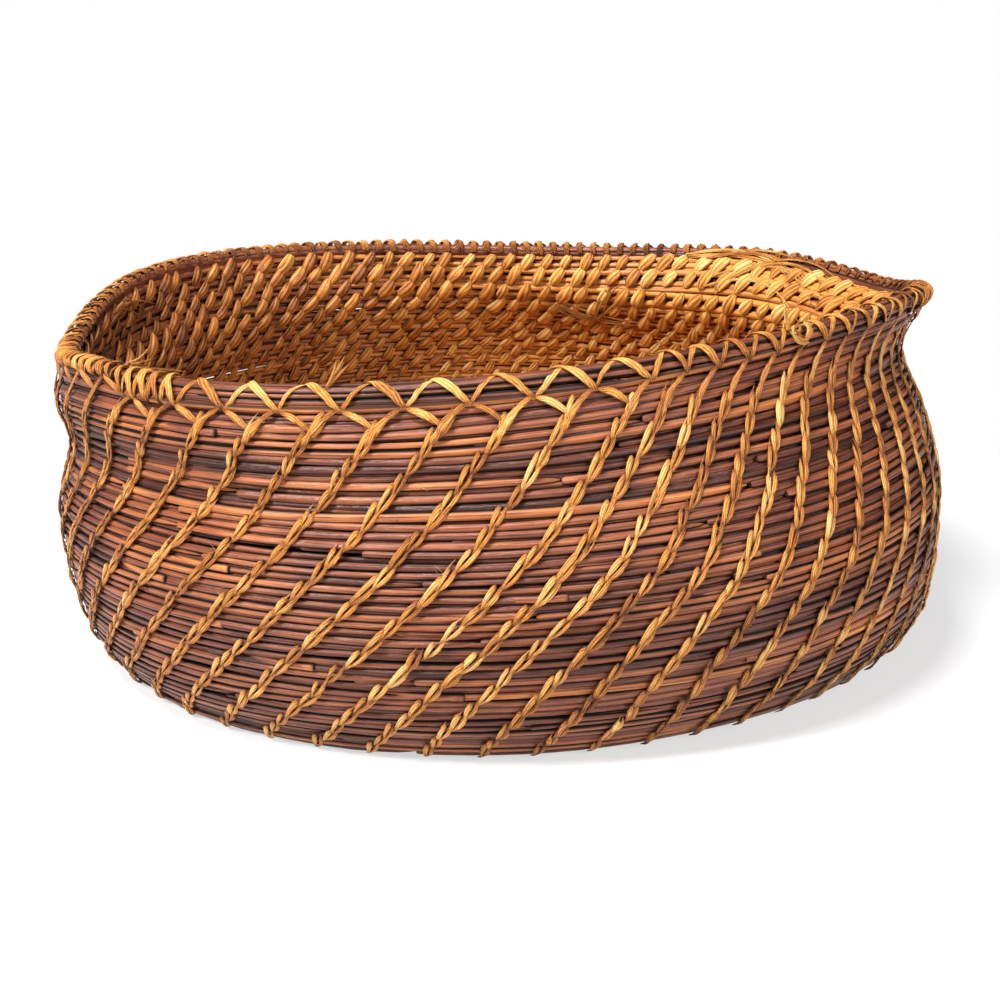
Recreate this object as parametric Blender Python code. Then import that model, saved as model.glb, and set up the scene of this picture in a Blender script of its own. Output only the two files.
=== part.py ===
"""A coiled pine needle basket, lashed with raffia.

One bundle of pine needles winds out from the middle of the base, climbs the bulging wall row by row and
ends as a thicker rim row. Chains of raffia stitches lean up the outside of the wall, and a raffia strand
laces the rim row. Lengths are in metres and +Z is up. The basket stands on the plane z = 0, with the
middle of its outline over the origin. Angles run counter-clockwise seen from above, from +X.
"""
import math

import bmesh
import bpy
import numpy as np
from mathutils import Vector

MM = 0.001

# Outer skin of the wall, as the base's radius and the steps out or in from each height to the next
RIM_HEIGHT = 83.7 * MM
BASE_RADIUS = 101.4 * MM
FOOT_FLARE = 9.0 * MM
BELLY_BULGE = 4.3 * MM
NECK_DRAW = 9.5 * MM
RIM_FLARE = 1.3 * MM
FOOT_RADIUS = BASE_RADIUS + FOOT_FLARE
BELLY_RADIUS = FOOT_RADIUS + BELLY_BULGE
NECK_RADIUS = BELLY_RADIUS - NECK_DRAW
RIM_RADIUS = NECK_RADIUS + RIM_FLARE
PROFILE_HEIGHT_SHARES = (0.0, 0.13, 0.45, 0.86, 1.0)
MIDDLE_HEIGHT_SHARE = 0.45

# How far the hand-wound basket is out of round, as cosine and sine parts of each wave round it
BASE_OVAL = (0.9 * MM, 3.2 * MM)
MIDDLE_OVAL = (-4.0 * MM, -1.2 * MM)
RIM_OVAL = (4.7 * MM, 1.5 * MM)
MIDDLE_THREE_LOBES = (-1.1 * MM, -1.6 * MM)
RIM_THREE_LOBES = (2.8 * MM, 1.9 * MM)
NECK_DENT = (-4.2 * MM, -2.7 * MM)
NECK_DENT_HEIGHT_SHARE = 0.84
NECK_DENT_WIDTH_SHARE = 0.10
BASE_SHIFT = (4.2 * MM, 0.1 * MM)
RIM_SHIFT = (-1.9 * MM, 1.1 * MM)
SHIFT_POWER = 1.5
RIM_TILT = (1.4 * MM, -0.3 * MM)
RIM_WAVE = (0.3 * MM, -2.4 * MM)
RIM_DIP_DEPTHS = (5.9 * MM, 7.7 * MM)
RIM_DIP_ANGLES = (math.radians(12.0), math.radians(186.0))
RIM_DIP_WIDTH = math.radians(20.0)
STITCH_SHIFT = (-0.67 * MM, -0.65 * MM)

# The needle coil
BASE_ROWS = 21
BASE_RISE_TURNS = 0.5
MOST_SWELL_SHARE = 1.2
WALL_ROWS = 22
ROW_GAP = 0.45 * MM
END_GAP = 0.3 * MM
STITCH_ROOM = 1.3 * MM
WALL_START_ARC = 1.3 * MM
WALL_START_ANGLE = math.radians(222.0)
START_BEND_RADIUS = 2.3 * MM
START_RUN = 3.5 * MM
POINTS_PER_ROW = 20
INNER_POINTS_PER_ROW = 10
INNER_ROWS = 14
BEND_POINTS = 3
RIM_COIL_DIAMETER = 5.6 * MM
RIM_SWELL_START_SHARE = 0.05
RIM_SWELL_SHARE = 0.05
RIM_TIP_DIAMETER = 1.2 * MM
RIM_TAPER_SHARE = 0.10
FLAT_DEPTH_SHARE = 0.1
CUT_OVERRUN = 5.0 * MM
WELD_DISTANCE = 0.003 * MM

# The stitches: zones round the rim, each with its first angle in degrees, its number of chains and the share
# of their lean that they gain on the way down
STITCH_ZONES = ((217.8, 10, 0.4), (288.4, 12, 0.2), (343.0, 32, -0.5), (577.8, 0, 0.4))
STITCH_TOP_SHARE = 0.95
STITCH_FOOT_ANGLE = math.radians(177.7)
RIB_DIAMETER = 1.3 * MM
SEAT_GAP = 0.3 * MM
RIB_STAND_OFF = 0.15 * MM
RIB_START_ROWS = 0.2
RIB_END_ROWS = 21.4
RIB_POINTS = 13
RIB_FOOT_POWER = 1.25
RIB_LEAST_STEP_SHARE = 0.3

# The rim lacing
LACING_DIAMETER = 0.9 * MM
LACING_STAND_OFF = 0.25 * MM
LACING_REACH = math.radians(110.0)
LACING_STEPS = 8
LACING_START_SHARE = 0.02
LACING_END_SHARE = 0.985

# Finishes, each a colour and a roughness
NEEDLE_BROWN = ((0.24, 0.10, 0.055, 1.0), 0.40)
NEEDLE_DARK = ((0.17, 0.07, 0.045, 1.0), 0.45)
NEEDLE_RIM = ((0.28, 0.12, 0.06, 1.0), 0.40)
RAFFIA_GOLD = ((0.62, 0.36, 0.13, 1.0), 0.60)
RAFFIA_PALE = ((0.78, 0.55, 0.24, 1.0), 0.55)

SKIN_SAMPLES = 720
PROFILE_SAMPLES = 400
NORMAL_STEP = 1.0e-4
FULL_TURN = 2.0 * math.pi
CORNER_ANGLE = FULL_TURN / POINTS_PER_ROW


def wave(parts, lobes, angle):
    """The height at an angle of a wave with the given number of lobes round the basket."""
    return parts[0] * math.cos(lobes * angle) + parts[1] * math.sin(lobes * angle)


def hermite_slopes(places, values):
    """Slopes at the places of a curve through the values that never overshoots them."""
    widths = np.diff(places)
    steps = np.diff(values) / widths
    slopes = np.zeros(len(values))
    for i in range(1, len(values) - 1):
        if steps[i - 1] * steps[i] > 0:
            left = 2 * widths[i] + widths[i - 1]
            right = widths[i] + 2 * widths[i - 1]
            slopes[i] = (left + right) / (left / steps[i - 1] + right / steps[i])
    slopes[0] = end_slope(widths[0], widths[1], steps[0], steps[1])
    slopes[-1] = end_slope(widths[-1], widths[-2], steps[-1], steps[-2])
    return slopes


def end_slope(width, next_width, step, next_step):
    """The slope at one end of such a curve."""
    slope = ((2 * width + next_width) * step - width * next_step) / (width + next_width)
    if slope * step <= 0:
        return 0.0
    if step * next_step <= 0 and abs(slope) > 3 * abs(step):
        return 3 * step
    return slope


PROFILE_RADII = (BASE_RADIUS, FOOT_RADIUS, BELLY_RADIUS, NECK_RADIUS, RIM_RADIUS)
PROFILE_SLOPES = hermite_slopes(PROFILE_HEIGHT_SHARES, PROFILE_RADII)


def profile_radius(share):
    """The mean radius of the skin at a share of its height."""
    share = min(max(share, 0.0), 1.0)
    i = max(k for k in range(len(PROFILE_RADII) - 1) if share >= PROFILE_HEIGHT_SHARES[k])
    width = PROFILE_HEIGHT_SHARES[i + 1] - PROFILE_HEIGHT_SHARES[i]
    t = (share - PROFILE_HEIGHT_SHARES[i]) / width
    rise = t * t * (3 - 2 * t)
    start = t * (1 - t) * (1 - t) * width * PROFILE_SLOPES[i]
    end = t * t * (t - 1) * width * PROFILE_SLOPES[i + 1]
    return PROFILE_RADII[i] * (1 - rise) + PROFILE_RADII[i + 1] * rise + start + end


def rim_height(angle):
    """The height of the rim's top at an angle."""
    height = RIM_HEIGHT + wave(RIM_TILT, 1, angle) + wave(RIM_WAVE, 2, angle)
    for depth, middle in zip(RIM_DIP_DEPTHS, RIM_DIP_ANGLES):
        away = (angle - middle + math.pi) % FULL_TURN - math.pi
        height -= depth * math.exp(-((away / RIM_DIP_WIDTH) ** 2))
    return height


def uncentred_skin(angle, share):
    """A point of the outer skin, before the basket is set over the origin."""
    to_rim = max((share - MIDDLE_HEIGHT_SHARE) / (1 - MIDDLE_HEIGHT_SHARE), 0.0) ** SHIFT_POWER
    to_base = max((MIDDLE_HEIGHT_SHARE - share) / MIDDLE_HEIGHT_SHARE, 0.0) ** SHIFT_POWER
    to_middle = 1 - to_rim - to_base
    radius = profile_radius(share)
    radius += to_base * wave(BASE_OVAL, 2, angle) + to_middle * wave(MIDDLE_OVAL, 2, angle)
    radius += to_rim * (wave(RIM_OVAL, 2, angle) + wave(RIM_THREE_LOBES, 3, angle))
    radius += to_middle * wave(MIDDLE_THREE_LOBES, 3, angle)
    dent = math.exp(-(((share - NECK_DENT_HEIGHT_SHARE) / NECK_DENT_WIDTH_SHARE) ** 2))
    radius += dent * wave(NECK_DENT, 1, angle)
    x = radius * math.cos(angle) + to_base * BASE_SHIFT[0] + to_rim * RIM_SHIFT[0]
    y = radius * math.sin(angle) + to_base * BASE_SHIFT[1] + to_rim * RIM_SHIFT[1]
    return Vector((x, y, share * rim_height(angle)))


def plan_middle():
    """The middle of the outline seen from above, with the shift that the stitches on it cause."""
    corners = []
    for i in range(SKIN_SAMPLES):
        for share in (MIDDLE_HEIGHT_SHARE / 2, MIDDLE_HEIGHT_SHARE, 1.0):
            corners.append(uncentred_skin(FULL_TURN * i / SKIN_SAMPLES, share))
    xs = [corner.x for corner in corners]
    ys = [corner.y for corner in corners]
    middle = Vector(((min(xs) + max(xs)) / 2, (min(ys) + max(ys)) / 2, 0.0))
    return middle + Vector((*STITCH_SHIFT, 0.0))


PLAN_MIDDLE = plan_middle()


def skin(angle, share):
    """A point of the outer skin."""
    return uncentred_skin(angle, share) - PLAN_MIDDLE


def skin_directions(angle, share):
    """The outward direction of the skin, and the direction up along it."""
    low = max(share - NORMAL_STEP, 0.0)
    high = min(share + NORMAL_STEP, 1.0)
    up = (skin(angle, high) - skin(angle, low)).normalized()
    along = (skin(angle + NORMAL_STEP, share) - skin(angle - NORMAL_STEP, share)).normalized()
    return along.cross(up).normalized(), up


def profile_arcs():
    """Height shares, and the length along the mean profile from the base's edge to each."""
    shares = np.linspace(0.0, 1.0, PROFILE_SAMPLES)
    radii = np.array([profile_radius(share) for share in shares])
    steps = np.hypot(np.diff(radii), np.diff(shares * RIM_HEIGHT))
    return shares, np.concatenate([[0.0], np.cumsum(steps)])


SHARES, ARCS = profile_arcs()
WALL_ARC = float(ARCS[-1])
RIM_LEVEL_ARC = WALL_ARC - SEAT_GAP - LACING_STAND_OFF - LACING_DIAMETER
ROW_PITCH = (RIM_LEVEL_ARC - WALL_START_ARC - RIM_COIL_DIAMETER) / (WALL_ROWS - 0.5)
COIL_RADIUS = (ROW_PITCH - ROW_GAP) / 2
FLAT_HEIGHT = COIL_RADIUS * (1 - 2 * FLAT_DEPTH_SHARE)


def share_at(arc):
    """The height share at a length up the mean profile."""
    return float(np.interp(arc, ARCS, SHARES))


def wall_angle(turn):
    """The angle of the wall coil after a number of turns."""
    return WALL_START_ANGLE + FULL_TURN * turn


def under_skin(angle, arc, depth):
    """A point at a depth under the skin, with the directions outward and up along the skin."""
    share = share_at(arc)
    outward, up = skin_directions(angle, share)
    return skin(angle, share) - outward * depth, outward, up


def wall_point(turn):
    """The centre of the wall coil after a number of turns."""
    arc = WALL_START_ARC + ROW_PITCH * turn
    return under_skin(wall_angle(turn), arc, STITCH_ROOM + COIL_RADIUS)[0]


def start_points():
    """The coil's straight inner end through the middle of the base, and the bend that leads out of it."""
    angle = wall_angle(-BASE_ROWS)
    out = Vector((math.cos(angle), math.sin(angle), 0.0))
    heading = Vector((-out.y, out.x, 0.0))
    lift = Vector((0.0, 0.0, FLAT_HEIGHT))
    points = [lift + heading * START_RUN / 2, lift - heading * START_RUN / 2]
    bend_middle = points[1] + out * START_BEND_RADIUS
    for i in range(1, BEND_POINTS + 1):
        bend = math.pi * i / (BEND_POINTS + 1)
        spoke = out * math.cos(bend) + heading * math.sin(bend)
        points.append(bend_middle - spoke * START_BEND_RADIUS)
    return points


def row_turns(rows_and_points):
    """Turn numbers along a spiral, with a number of points for each row."""
    turns = []
    begin = 0
    for rows, points in rows_and_points:
        turns += [begin + i / points for i in range(rows * points)]
        begin += rows
    return turns


def base_spiral_point(turn):
    """The centre of the base coil after a number of turns from its first full row."""
    edge_turn = turn - BASE_ROWS
    angle = wall_angle(edge_turn)
    edge = under_skin(angle, WALL_START_ARC, STITCH_ROOM + COIL_RADIUS)[0]
    edge_radius = Vector((edge.x, edge.y)).length
    inner = START_BEND_RADIUS * 2
    radius = inner + (edge_radius - inner) * turn / BASE_ROWS
    corner = round(turn * POINTS_PER_ROW)
    if turn >= INNER_ROWS and corner % 2:
        radius *= 1 - (1 - math.cos(CORNER_ANGLE)) * edge_turn / (INNER_ROWS - BASE_ROWS)
    rise = max(1 + edge_turn / BASE_RISE_TURNS, 0.0)
    height = FLAT_HEIGHT + (edge.z - FLAT_HEIGHT) * rise * rise * (3 - 2 * rise)
    return Vector((edge.x, edge.y, 0.0)).normalized() * radius + Vector((0.0, 0.0, height))


def distance_to_segment(point, start, end):
    """The distance from a point to a straight segment."""
    span = end - start
    along = min(max((point - start).dot(span) / span.length_squared, 0.0), 1.0)
    return (point - start - span * along).length


def fitted_radii(points, most):
    """Radii at which a winding leaves the row gap between its turns, none above the most allowed."""
    skip = INNER_POINTS_PER_ROW // 2
    window = POINTS_PER_ROW + POINTS_PER_ROW // 2
    radii = [most] * len(points)
    for i, point in enumerate(points):
        for j in range(max(i - window, 0), min(i + window, len(points) - 1)):
            if j + 1 < i - skip or j > i + skip:
                room = (distance_to_segment(point, points[j], points[j + 1]) - ROW_GAP) / 2
                for k in (i, j, j + 1):
                    radii[k] = min(radii[k], room)
    return radii


def least_gap(points, radii):
    """The least gap of a winding to itself, measured between points on its segments."""
    samples = 4
    places = []
    for i in range(len(points) - 1):
        for k in range(samples):
            t = k / samples
            places.append((*points[i].lerp(points[i + 1], t), radii[i] * (1 - t) + radii[i + 1] * t))
    places = np.array(places)
    skip = samples * (INNER_POINTS_PER_ROW // 2)
    least = math.inf
    for i in range(len(places) - skip):
        others = places[i + skip:]
        gaps = np.linalg.norm(others[:, :3] - places[i, :3], axis=1) - others[:, 3] - places[i, 3]
        least = min(least, float(gaps.min()))
    return least


class Winding:
    """A winding with a fixed number of points in each row, read at any turn."""

    def __init__(self, points, radii):
        self.points = points
        self.radii = radii

    def place(self, turn):
        """The point before a turn, and how far the turn lies towards the next one."""
        spot = min(max(turn * POINTS_PER_ROW, 0.0), len(self.points) - 1 - NORMAL_STEP)
        return int(spot), spot - int(spot)

    def point_at(self, turn):
        """The winding's centre at a turn."""
        i, t = self.place(turn)
        return self.points[i].lerp(self.points[i + 1], t)

    def radius_at(self, turn):
        """The winding's radius at a turn."""
        i, t = self.place(turn)
        return self.radii[i] * (1 - t) + self.radii[i + 1] * t


def report_gap(name, points, radii):
    """Prints the least gap of a winding to itself."""
    print(f"least gap of {name} to itself in mm:", round(least_gap(points, radii) / MM, 3))


def parted(start, end, start_radius, end_radius):
    """Two facing ends in the middle of a straight stretch, and the radius there."""
    middle = start.lerp(end, 0.5)
    along = (end - start).normalized() * END_GAP / 2
    return middle - along, middle + along, (start_radius + end_radius) / 2


def material(name, colour, roughness):
    """A plain dielectric material."""
    made = bpy.data.materials.new(name)
    made.use_nodes = True
    shader = made.node_tree.nodes["Principled BSDF"]
    shader.inputs["Base Color"].default_value = colour
    shader.inputs["Roughness"].default_value = roughness
    shader.inputs["Metallic"].default_value = 0.0
    return made


def tube(name, points, radii, finish, collection, resolution=1):
    """A tube with filled ends along the points."""
    curve = bpy.data.curves.new(name, "CURVE")
    curve.dimensions = "3D"
    curve.twist_mode = "Z_UP"
    curve.bevel_depth = max(radii)
    curve.bevel_resolution = resolution
    curve.use_fill_caps = True
    spline = curve.splines.new("POLY")
    spline.points.add(len(points) - 1)
    for spot, point, radius in zip(spline.points, points, radii):
        spot.co = (*point, 1.0)
        spot.radius = radius / curve.bevel_depth
    curve.materials.append(material(name, *finish))
    made = bpy.data.objects.new(name, curve)
    collection.objects.link(made)
    return made


def as_mesh(curve_object, collection):
    """The same object as a mesh with its ends welded on."""
    depsgraph = bpy.context.evaluated_depsgraph_get()
    mesh = bpy.data.meshes.new_from_object(curve_object.evaluated_get(depsgraph))
    shape = bmesh.new()
    shape.from_mesh(mesh)
    bmesh.ops.remove_doubles(shape, verts=shape.verts, dist=WELD_DISTANCE)
    shape.to_mesh(mesh)
    shape.free()
    name = curve_object.name
    matrix = curve_object.matrix_world.copy()
    bpy.data.objects.remove(curve_object)
    made = bpy.data.objects.new(name, mesh)
    made.matrix_world = matrix
    collection.objects.link(made)
    return made


def floor_cutter(collection):
    """A block whose top is the plane that the basket stands on."""
    size = 2 * (BELLY_RADIUS + CUT_OVERRUN)
    bpy.ops.mesh.primitive_cube_add(size=1.0)
    block = bpy.context.object
    block.name = "floor_cutter"
    block.scale = (size, size, CUT_OVERRUN)
    block.location = (0.0, 0.0, -CUT_OVERRUN / 2)
    bpy.ops.object.transform_apply(location=False, rotation=False, scale=True)
    for owner in block.users_collection:
        owner.objects.unlink(block)
    collection.objects.link(block)
    block.hide_render = True
    block.display_type = "WIRE"
    return block


def needle_coil(parts, cutters):
    """The base coil and the wall coil: one path, parted in the middle of a straight stretch."""
    turns = row_turns(((INNER_ROWS, INNER_POINTS_PER_ROW), (BASE_ROWS - INNER_ROWS, POINTS_PER_ROW)))
    base = start_points() + [base_spiral_point(turn) for turn in turns]
    wall = [wall_point(i / POINTS_PER_ROW) for i in range(WALL_ROWS * POINTS_PER_ROW + 1)]
    radii = fitted_radii(base + wall, COIL_RADIUS * MOST_SWELL_SHARE)
    base_radii = radii[:len(base)]
    wall_radii = radii[len(base):]
    joint, next_joint, joint_radius = parted(base[-1], wall[0], base_radii[-1], wall_radii[0])
    base_points = base + [joint]
    base_radii.append(joint_radius)
    last, rim_start, rim_radius = parted(wall[-2], wall[-1], wall_radii[-2], wall_radii[-1])
    wall_points = [next_joint] + wall[:-1] + [last]
    wall_radii = [joint_radius] + wall_radii[:-1] + [rim_radius]
    base_coil = as_mesh(tube("base_coil", base_points, base_radii, NEEDLE_DARK, parts), parts)
    flat = base_coil.modifiers.new("flat_underside", "BOOLEAN")
    flat.operation = "DIFFERENCE"
    flat.solver = "EXACT"
    flat.object = floor_cutter(cutters)
    tube("wall_coil", wall_points, wall_radii, NEEDLE_BROWN, parts)
    report_gap("base_coil", base_points, base_radii)
    report_gap("wall_coil", wall_points, wall_radii)
    return Winding(wall, wall_radii[1:-1] + [rim_radius]), rim_start, rim_radius


def rim_coil(wall, start, start_radius, parts):
    """The thicker last row: level on top, lying on the climbing row below, and tapered at its end."""
    points = [start]
    radii = [start_radius]
    for i in range(POINTS_PER_ROW + 1):
        turn = WALL_ROWS + i / POINTS_PER_ROW
        below = wall.radius_at(turn - 1) + ROW_GAP
        under = WALL_START_ARC + ROW_PITCH * (turn - 1) + below
        full = (RIM_LEVEL_ARC - under) / 2
        swell = min(max((i / POINTS_PER_ROW - RIM_SWELL_START_SHARE) / RIM_SWELL_SHARE, 0.0), 1.0)
        taper = min((1 - i / POINTS_PER_ROW) / RIM_TAPER_SHARE, 1.0)
        radius = start_radius + (full - start_radius) * swell
        radius = RIM_TIP_DIAMETER / 2 + (radius - RIM_TIP_DIAMETER / 2) * taper
        centre = under_skin(wall_angle(turn), under + radius, STITCH_ROOM + radius)[0]
        points.append(centre)
        radii.append(radius)
    tube("rim_coil", points, radii, NEEDLE_RIM, parts)
    report_gap("rim_coil", points, radii)
    return Winding(points[1:], radii[1:])


def stitch_chains():
    """Each stitch chain as its angle under the rim, its angle at the foot and the share of lean it gains."""
    count = sum(zone[1] for zone in STITCH_ZONES)
    chains = []
    for (first, number, gain), (next_first, _, next_gain) in zip(STITCH_ZONES, STITCH_ZONES[1:]):
        for i in range(number):
            top = math.radians(first + (next_first - first) * i / number)
            foot = STITCH_FOOT_ANGLE + FULL_TURN * len(chains) / count
            chains.append((top, foot, gain + (next_gain - gain) * i / number))
    return chains


def chain_angle(chain, share):
    """The angle of a leaning chain at a share of the height."""
    top, foot, gain = chain
    down = 1 - share / STITCH_TOP_SHARE
    return top - (top - foot) * down * (1 - gain + gain * down)


def rib_arcs(chain):
    """Lengths up the wall where a chain's rib has a point: at each corner that it crosses, and between."""
    bottom = WALL_START_ARC + RIB_START_ROWS * ROW_PITCH
    top = WALL_START_ARC + RIB_END_ROWS * ROW_PITCH
    even = bottom + (top - bottom) * np.linspace(0.0, 1.0, RIB_POINTS) ** RIB_FOOT_POWER
    angles = [(chain_angle(chain, share_at(arc)) - WALL_START_ANGLE) / CORNER_ANGLE for arc in even]
    corners = range(math.ceil(angles[0]), math.floor(angles[-1]) + 1)
    crossings = [float(np.interp(corner, angles, even)) for corner in corners]
    apart = RIB_LEAST_STEP_SHARE * (top - bottom) / (RIB_POINTS - 1)
    kept = [arc for arc in even[1:-1] if all(abs(arc - crossing) > apart for crossing in crossings)]
    inside = [arc for arc in crossings if bottom + apart < arc < top - apart]
    return sorted([bottom, top] + kept + inside)


def on_wall(wall, angle, arc):
    """The centre and radius of the wall coil's rows at an angle and a length up the wall."""
    part_turn = ((angle - WALL_START_ANGLE) / FULL_TURN) % 1.0
    rows = (arc - WALL_START_ARC) / ROW_PITCH - part_turn
    lower = min(max(math.floor(rows), 0), WALL_ROWS - 2)
    share = rows - lower
    low_turn = lower + part_turn
    centre = wall.point_at(low_turn).lerp(wall.point_at(low_turn + 1), share)
    return centre, wall.radius_at(low_turn) * (1 - share) + wall.radius_at(low_turn + 1) * share


def stitch_ribs(wall, parts):
    """One rib for each chain of stitches, lying on the rows that it crosses."""
    for number, chain in enumerate(stitch_chains(), start=1):
        points = []
        for arc in rib_arcs(chain):
            angle = chain_angle(chain, share_at(arc))
            centre, radius = on_wall(wall, angle, arc)
            outward = under_skin(angle, arc, 0.0)[1]
            points.append(centre + outward * (radius + SEAT_GAP + RIB_STAND_OFF + RIB_DIAMETER / 2))
        radii = [RIB_DIAMETER / 2] * len(points)
        tube(f"stitch_rib_{number:02d}", points, radii, RAFFIA_GOLD, parts, resolution=0)


def rim_lacing(rim, parts):
    """A strand that swings over the rim row from side to side, once for each chain."""
    points = []
    turns = sorted(((chain[0] - WALL_START_ANGLE) / FULL_TURN) % 1.0 for chain in stitch_chains())
    turns = [turn for turn in turns if LACING_START_SHARE < turn < LACING_END_SHARE]
    for turn, following in zip(turns, turns[1:]):
        for step in range(LACING_STEPS):
            swing = LACING_REACH * (1 - 2 * abs(2 * step / LACING_STEPS - 1)) * -1
            spot = turn + (following - turn) * step / LACING_STEPS
            outward, up = under_skin(wall_angle(spot), WALL_ARC, 0.0)[1:]
            stand_off = rim.radius_at(spot) + SEAT_GAP + LACING_STAND_OFF + LACING_DIAMETER / 2
            direction = up * math.cos(swing) + outward * math.sin(swing)
            points.append(rim.point_at(spot) + direction * stand_off)
    radii = [LACING_DIAMETER / 2] * len(points)
    tube("rim_lacing", points, radii, RAFFIA_PALE, parts, resolution=0)


def main():
    """Builds the basket."""
    for old in list(bpy.data.objects):
        bpy.data.objects.remove(old)
    parts = bpy.data.collections.new("pine_needle_basket")
    cutters = bpy.data.collections.new("cutters")
    bpy.context.scene.collection.children.link(parts)
    bpy.context.scene.collection.children.link(cutters)
    wall, rim_start, rim_radius = needle_coil(parts, cutters)
    rim = rim_coil(wall, rim_start, rim_radius, parts)
    stitch_ribs(wall, parts)
    rim_lacing(rim, parts)


main()
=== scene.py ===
"""The finished look of the coiled pine needle basket.

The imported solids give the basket's frame. Every solid is replaced by what it stands for: the coils by
bundles of separate needles, the stitch ribs by chains of fork-shaped raffia stitches, and the rim strand by
flat raffia laced over the rim row. Lengths are in metres, +Z is up, and angles run counter-clockwise seen
from above, from +X.
"""

import dataclasses
import enum
import logging
import math
from typing import Any, ClassVar, Iterable, Sequence

import bpy
import numpy as np
from mathutils import Matrix, Vector


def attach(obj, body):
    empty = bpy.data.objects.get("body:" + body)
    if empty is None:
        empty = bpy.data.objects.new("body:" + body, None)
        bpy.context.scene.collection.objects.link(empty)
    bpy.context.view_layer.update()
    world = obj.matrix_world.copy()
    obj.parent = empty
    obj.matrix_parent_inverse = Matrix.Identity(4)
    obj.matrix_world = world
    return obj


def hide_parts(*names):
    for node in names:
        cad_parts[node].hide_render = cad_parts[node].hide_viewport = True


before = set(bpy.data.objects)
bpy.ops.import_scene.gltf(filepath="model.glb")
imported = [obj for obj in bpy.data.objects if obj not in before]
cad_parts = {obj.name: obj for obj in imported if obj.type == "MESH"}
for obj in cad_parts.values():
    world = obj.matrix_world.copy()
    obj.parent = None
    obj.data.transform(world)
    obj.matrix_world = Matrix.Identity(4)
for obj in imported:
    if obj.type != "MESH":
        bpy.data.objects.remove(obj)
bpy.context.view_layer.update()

LOG = logging.getLogger("basket")
MM = 0.001
FULL_TURN = 2.0 * math.pi
BODY = "root"
FLOOR_GAP = 0.05 * MM
Colour = tuple[float, float, float, float]
Frames = tuple[np.ndarray, np.ndarray, np.ndarray, np.ndarray]


class Attribute(enum.Enum):
    """The named values that travel from a guide line to the finished mesh."""

    RADIUS = "strand_radius"
    FACING = "strand_facing"
    TINT = "strand_tint"
    WAY = "strand_way"
    RING = "strand_ring"
    RUN = "strand_run"
    SIZE = "strand_size"


class Slot(enum.Enum):
    """The material slots of the record."""

    BASE_NEEDLES = "needles_base"
    WALL_NEEDLES = "needles_wall"
    RIM_NEEDLES = "needles_rim"
    WALL_RAFFIA = "raffia_wall"
    RIM_RAFFIA = "raffia_rim"


class Wire:
    """One output of a node, with arithmetic that adds the Math nodes it needs."""

    def __init__(self, nodes: "NodeBench", socket: bpy.types.NodeSocket) -> None:
        """Wraps an output socket of the bench's tree."""
        self.nodes = nodes
        self.socket = socket

    def math(self, operation: str, *others: Any) -> "Wire":
        """Returns this value combined with others, numbers or wires in order, by a Math node."""
        return self.nodes.number(operation, self, *others)

    def __add__(self, other: Any) -> "Wire":
        """Returns the sum."""
        return self.math("ADD", other)

    __radd__ = __add__

    def __mul__(self, other: Any) -> "Wire":
        """Returns the product."""
        return self.math("MULTIPLY", other)

    __rmul__ = __mul__

    def __sub__(self, other: Any) -> "Wire":
        """Returns the difference."""
        return self.math("SUBTRACT", other)

    def __rsub__(self, other: Any) -> "Wire":
        """Returns the difference the other way round."""
        return self.nodes.number("SUBTRACT", other, self)

    def clamped(self) -> "Wire":
        """Returns the value held between 0 and 1."""
        return self.math("MAXIMUM", 0.0).math("MINIMUM", 1.0)


class NodeBench:
    """A node tree under construction."""

    def __init__(self, tree: bpy.types.NodeTree) -> None:
        """Works on an empty tree."""
        self.tree = tree

    def node(self, kind: str, settings: dict[str, Any] | None = None,
             values: dict[Any, Any] | None = None) -> bpy.types.Node:
        """Adds one node.

        Args:
            kind: the node's type.
            settings: its own properties, set before its sockets are touched.
            values: its input sockets, by name or number, each a plain value or a wire to link.

        Returns:
            The new node.
        """
        made = self.tree.nodes.new(kind)
        for name, value in (settings or {}).items():
            setattr(made, name, value)
        self.fill(made, values or {})
        return made

    def fill(self, made: bpy.types.Node, values: dict[Any, Any]) -> None:
        """Sets some of a node's input sockets.

        Args:
            made: the node.
            values: the sockets, by name or number, each a plain value or a wire to link.
        """
        for name, value in values.items():
            socket = made.inputs[name]
            if isinstance(value, Wire):
                self.tree.links.new(value.socket, socket)
            else:
                socket.default_value = value

    def out(self, made: bpy.types.Node, name: Any = 0) -> Wire:
        """Returns a wire from one of a node's outputs."""
        return Wire(self, made.outputs[name])

    def result(self, kind: str, settings: dict[str, Any] | None = None,
               values: dict[Any, Any] | None = None, name: Any = 0) -> Wire:
        """Returns a wire from one output of a new node."""
        return self.out(self.node(kind, settings, values), name)

    def number(self, operation: str, *operands: Any) -> Wire:
        """Returns the output of a Math node on the operands."""
        return self.result("ShaderNodeMath", {"operation": operation}, dict(enumerate(operands)))

    def vector(self, operation: str, *operands: Any, scale: Any = None) -> Wire:
        """Works on vectors with a Vector Math node.

        Args:
            operation: the node's operation.
            *operands: the vectors, in order.
            scale: its scale, where it has one.

        Returns:
            The node's output.
        """
        values: dict[Any, Any] = dict(enumerate(operands))
        if scale is not None:
            values["Scale"] = scale
        return self.result("ShaderNodeVectorMath", {"operation": operation}, values)


@dataclasses.dataclass(frozen=True)
class Grain:
    """Streaks that run along a strand."""

    around: float
    along: float
    detail: float = 3.0
    roughness: float = 0.6


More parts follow.
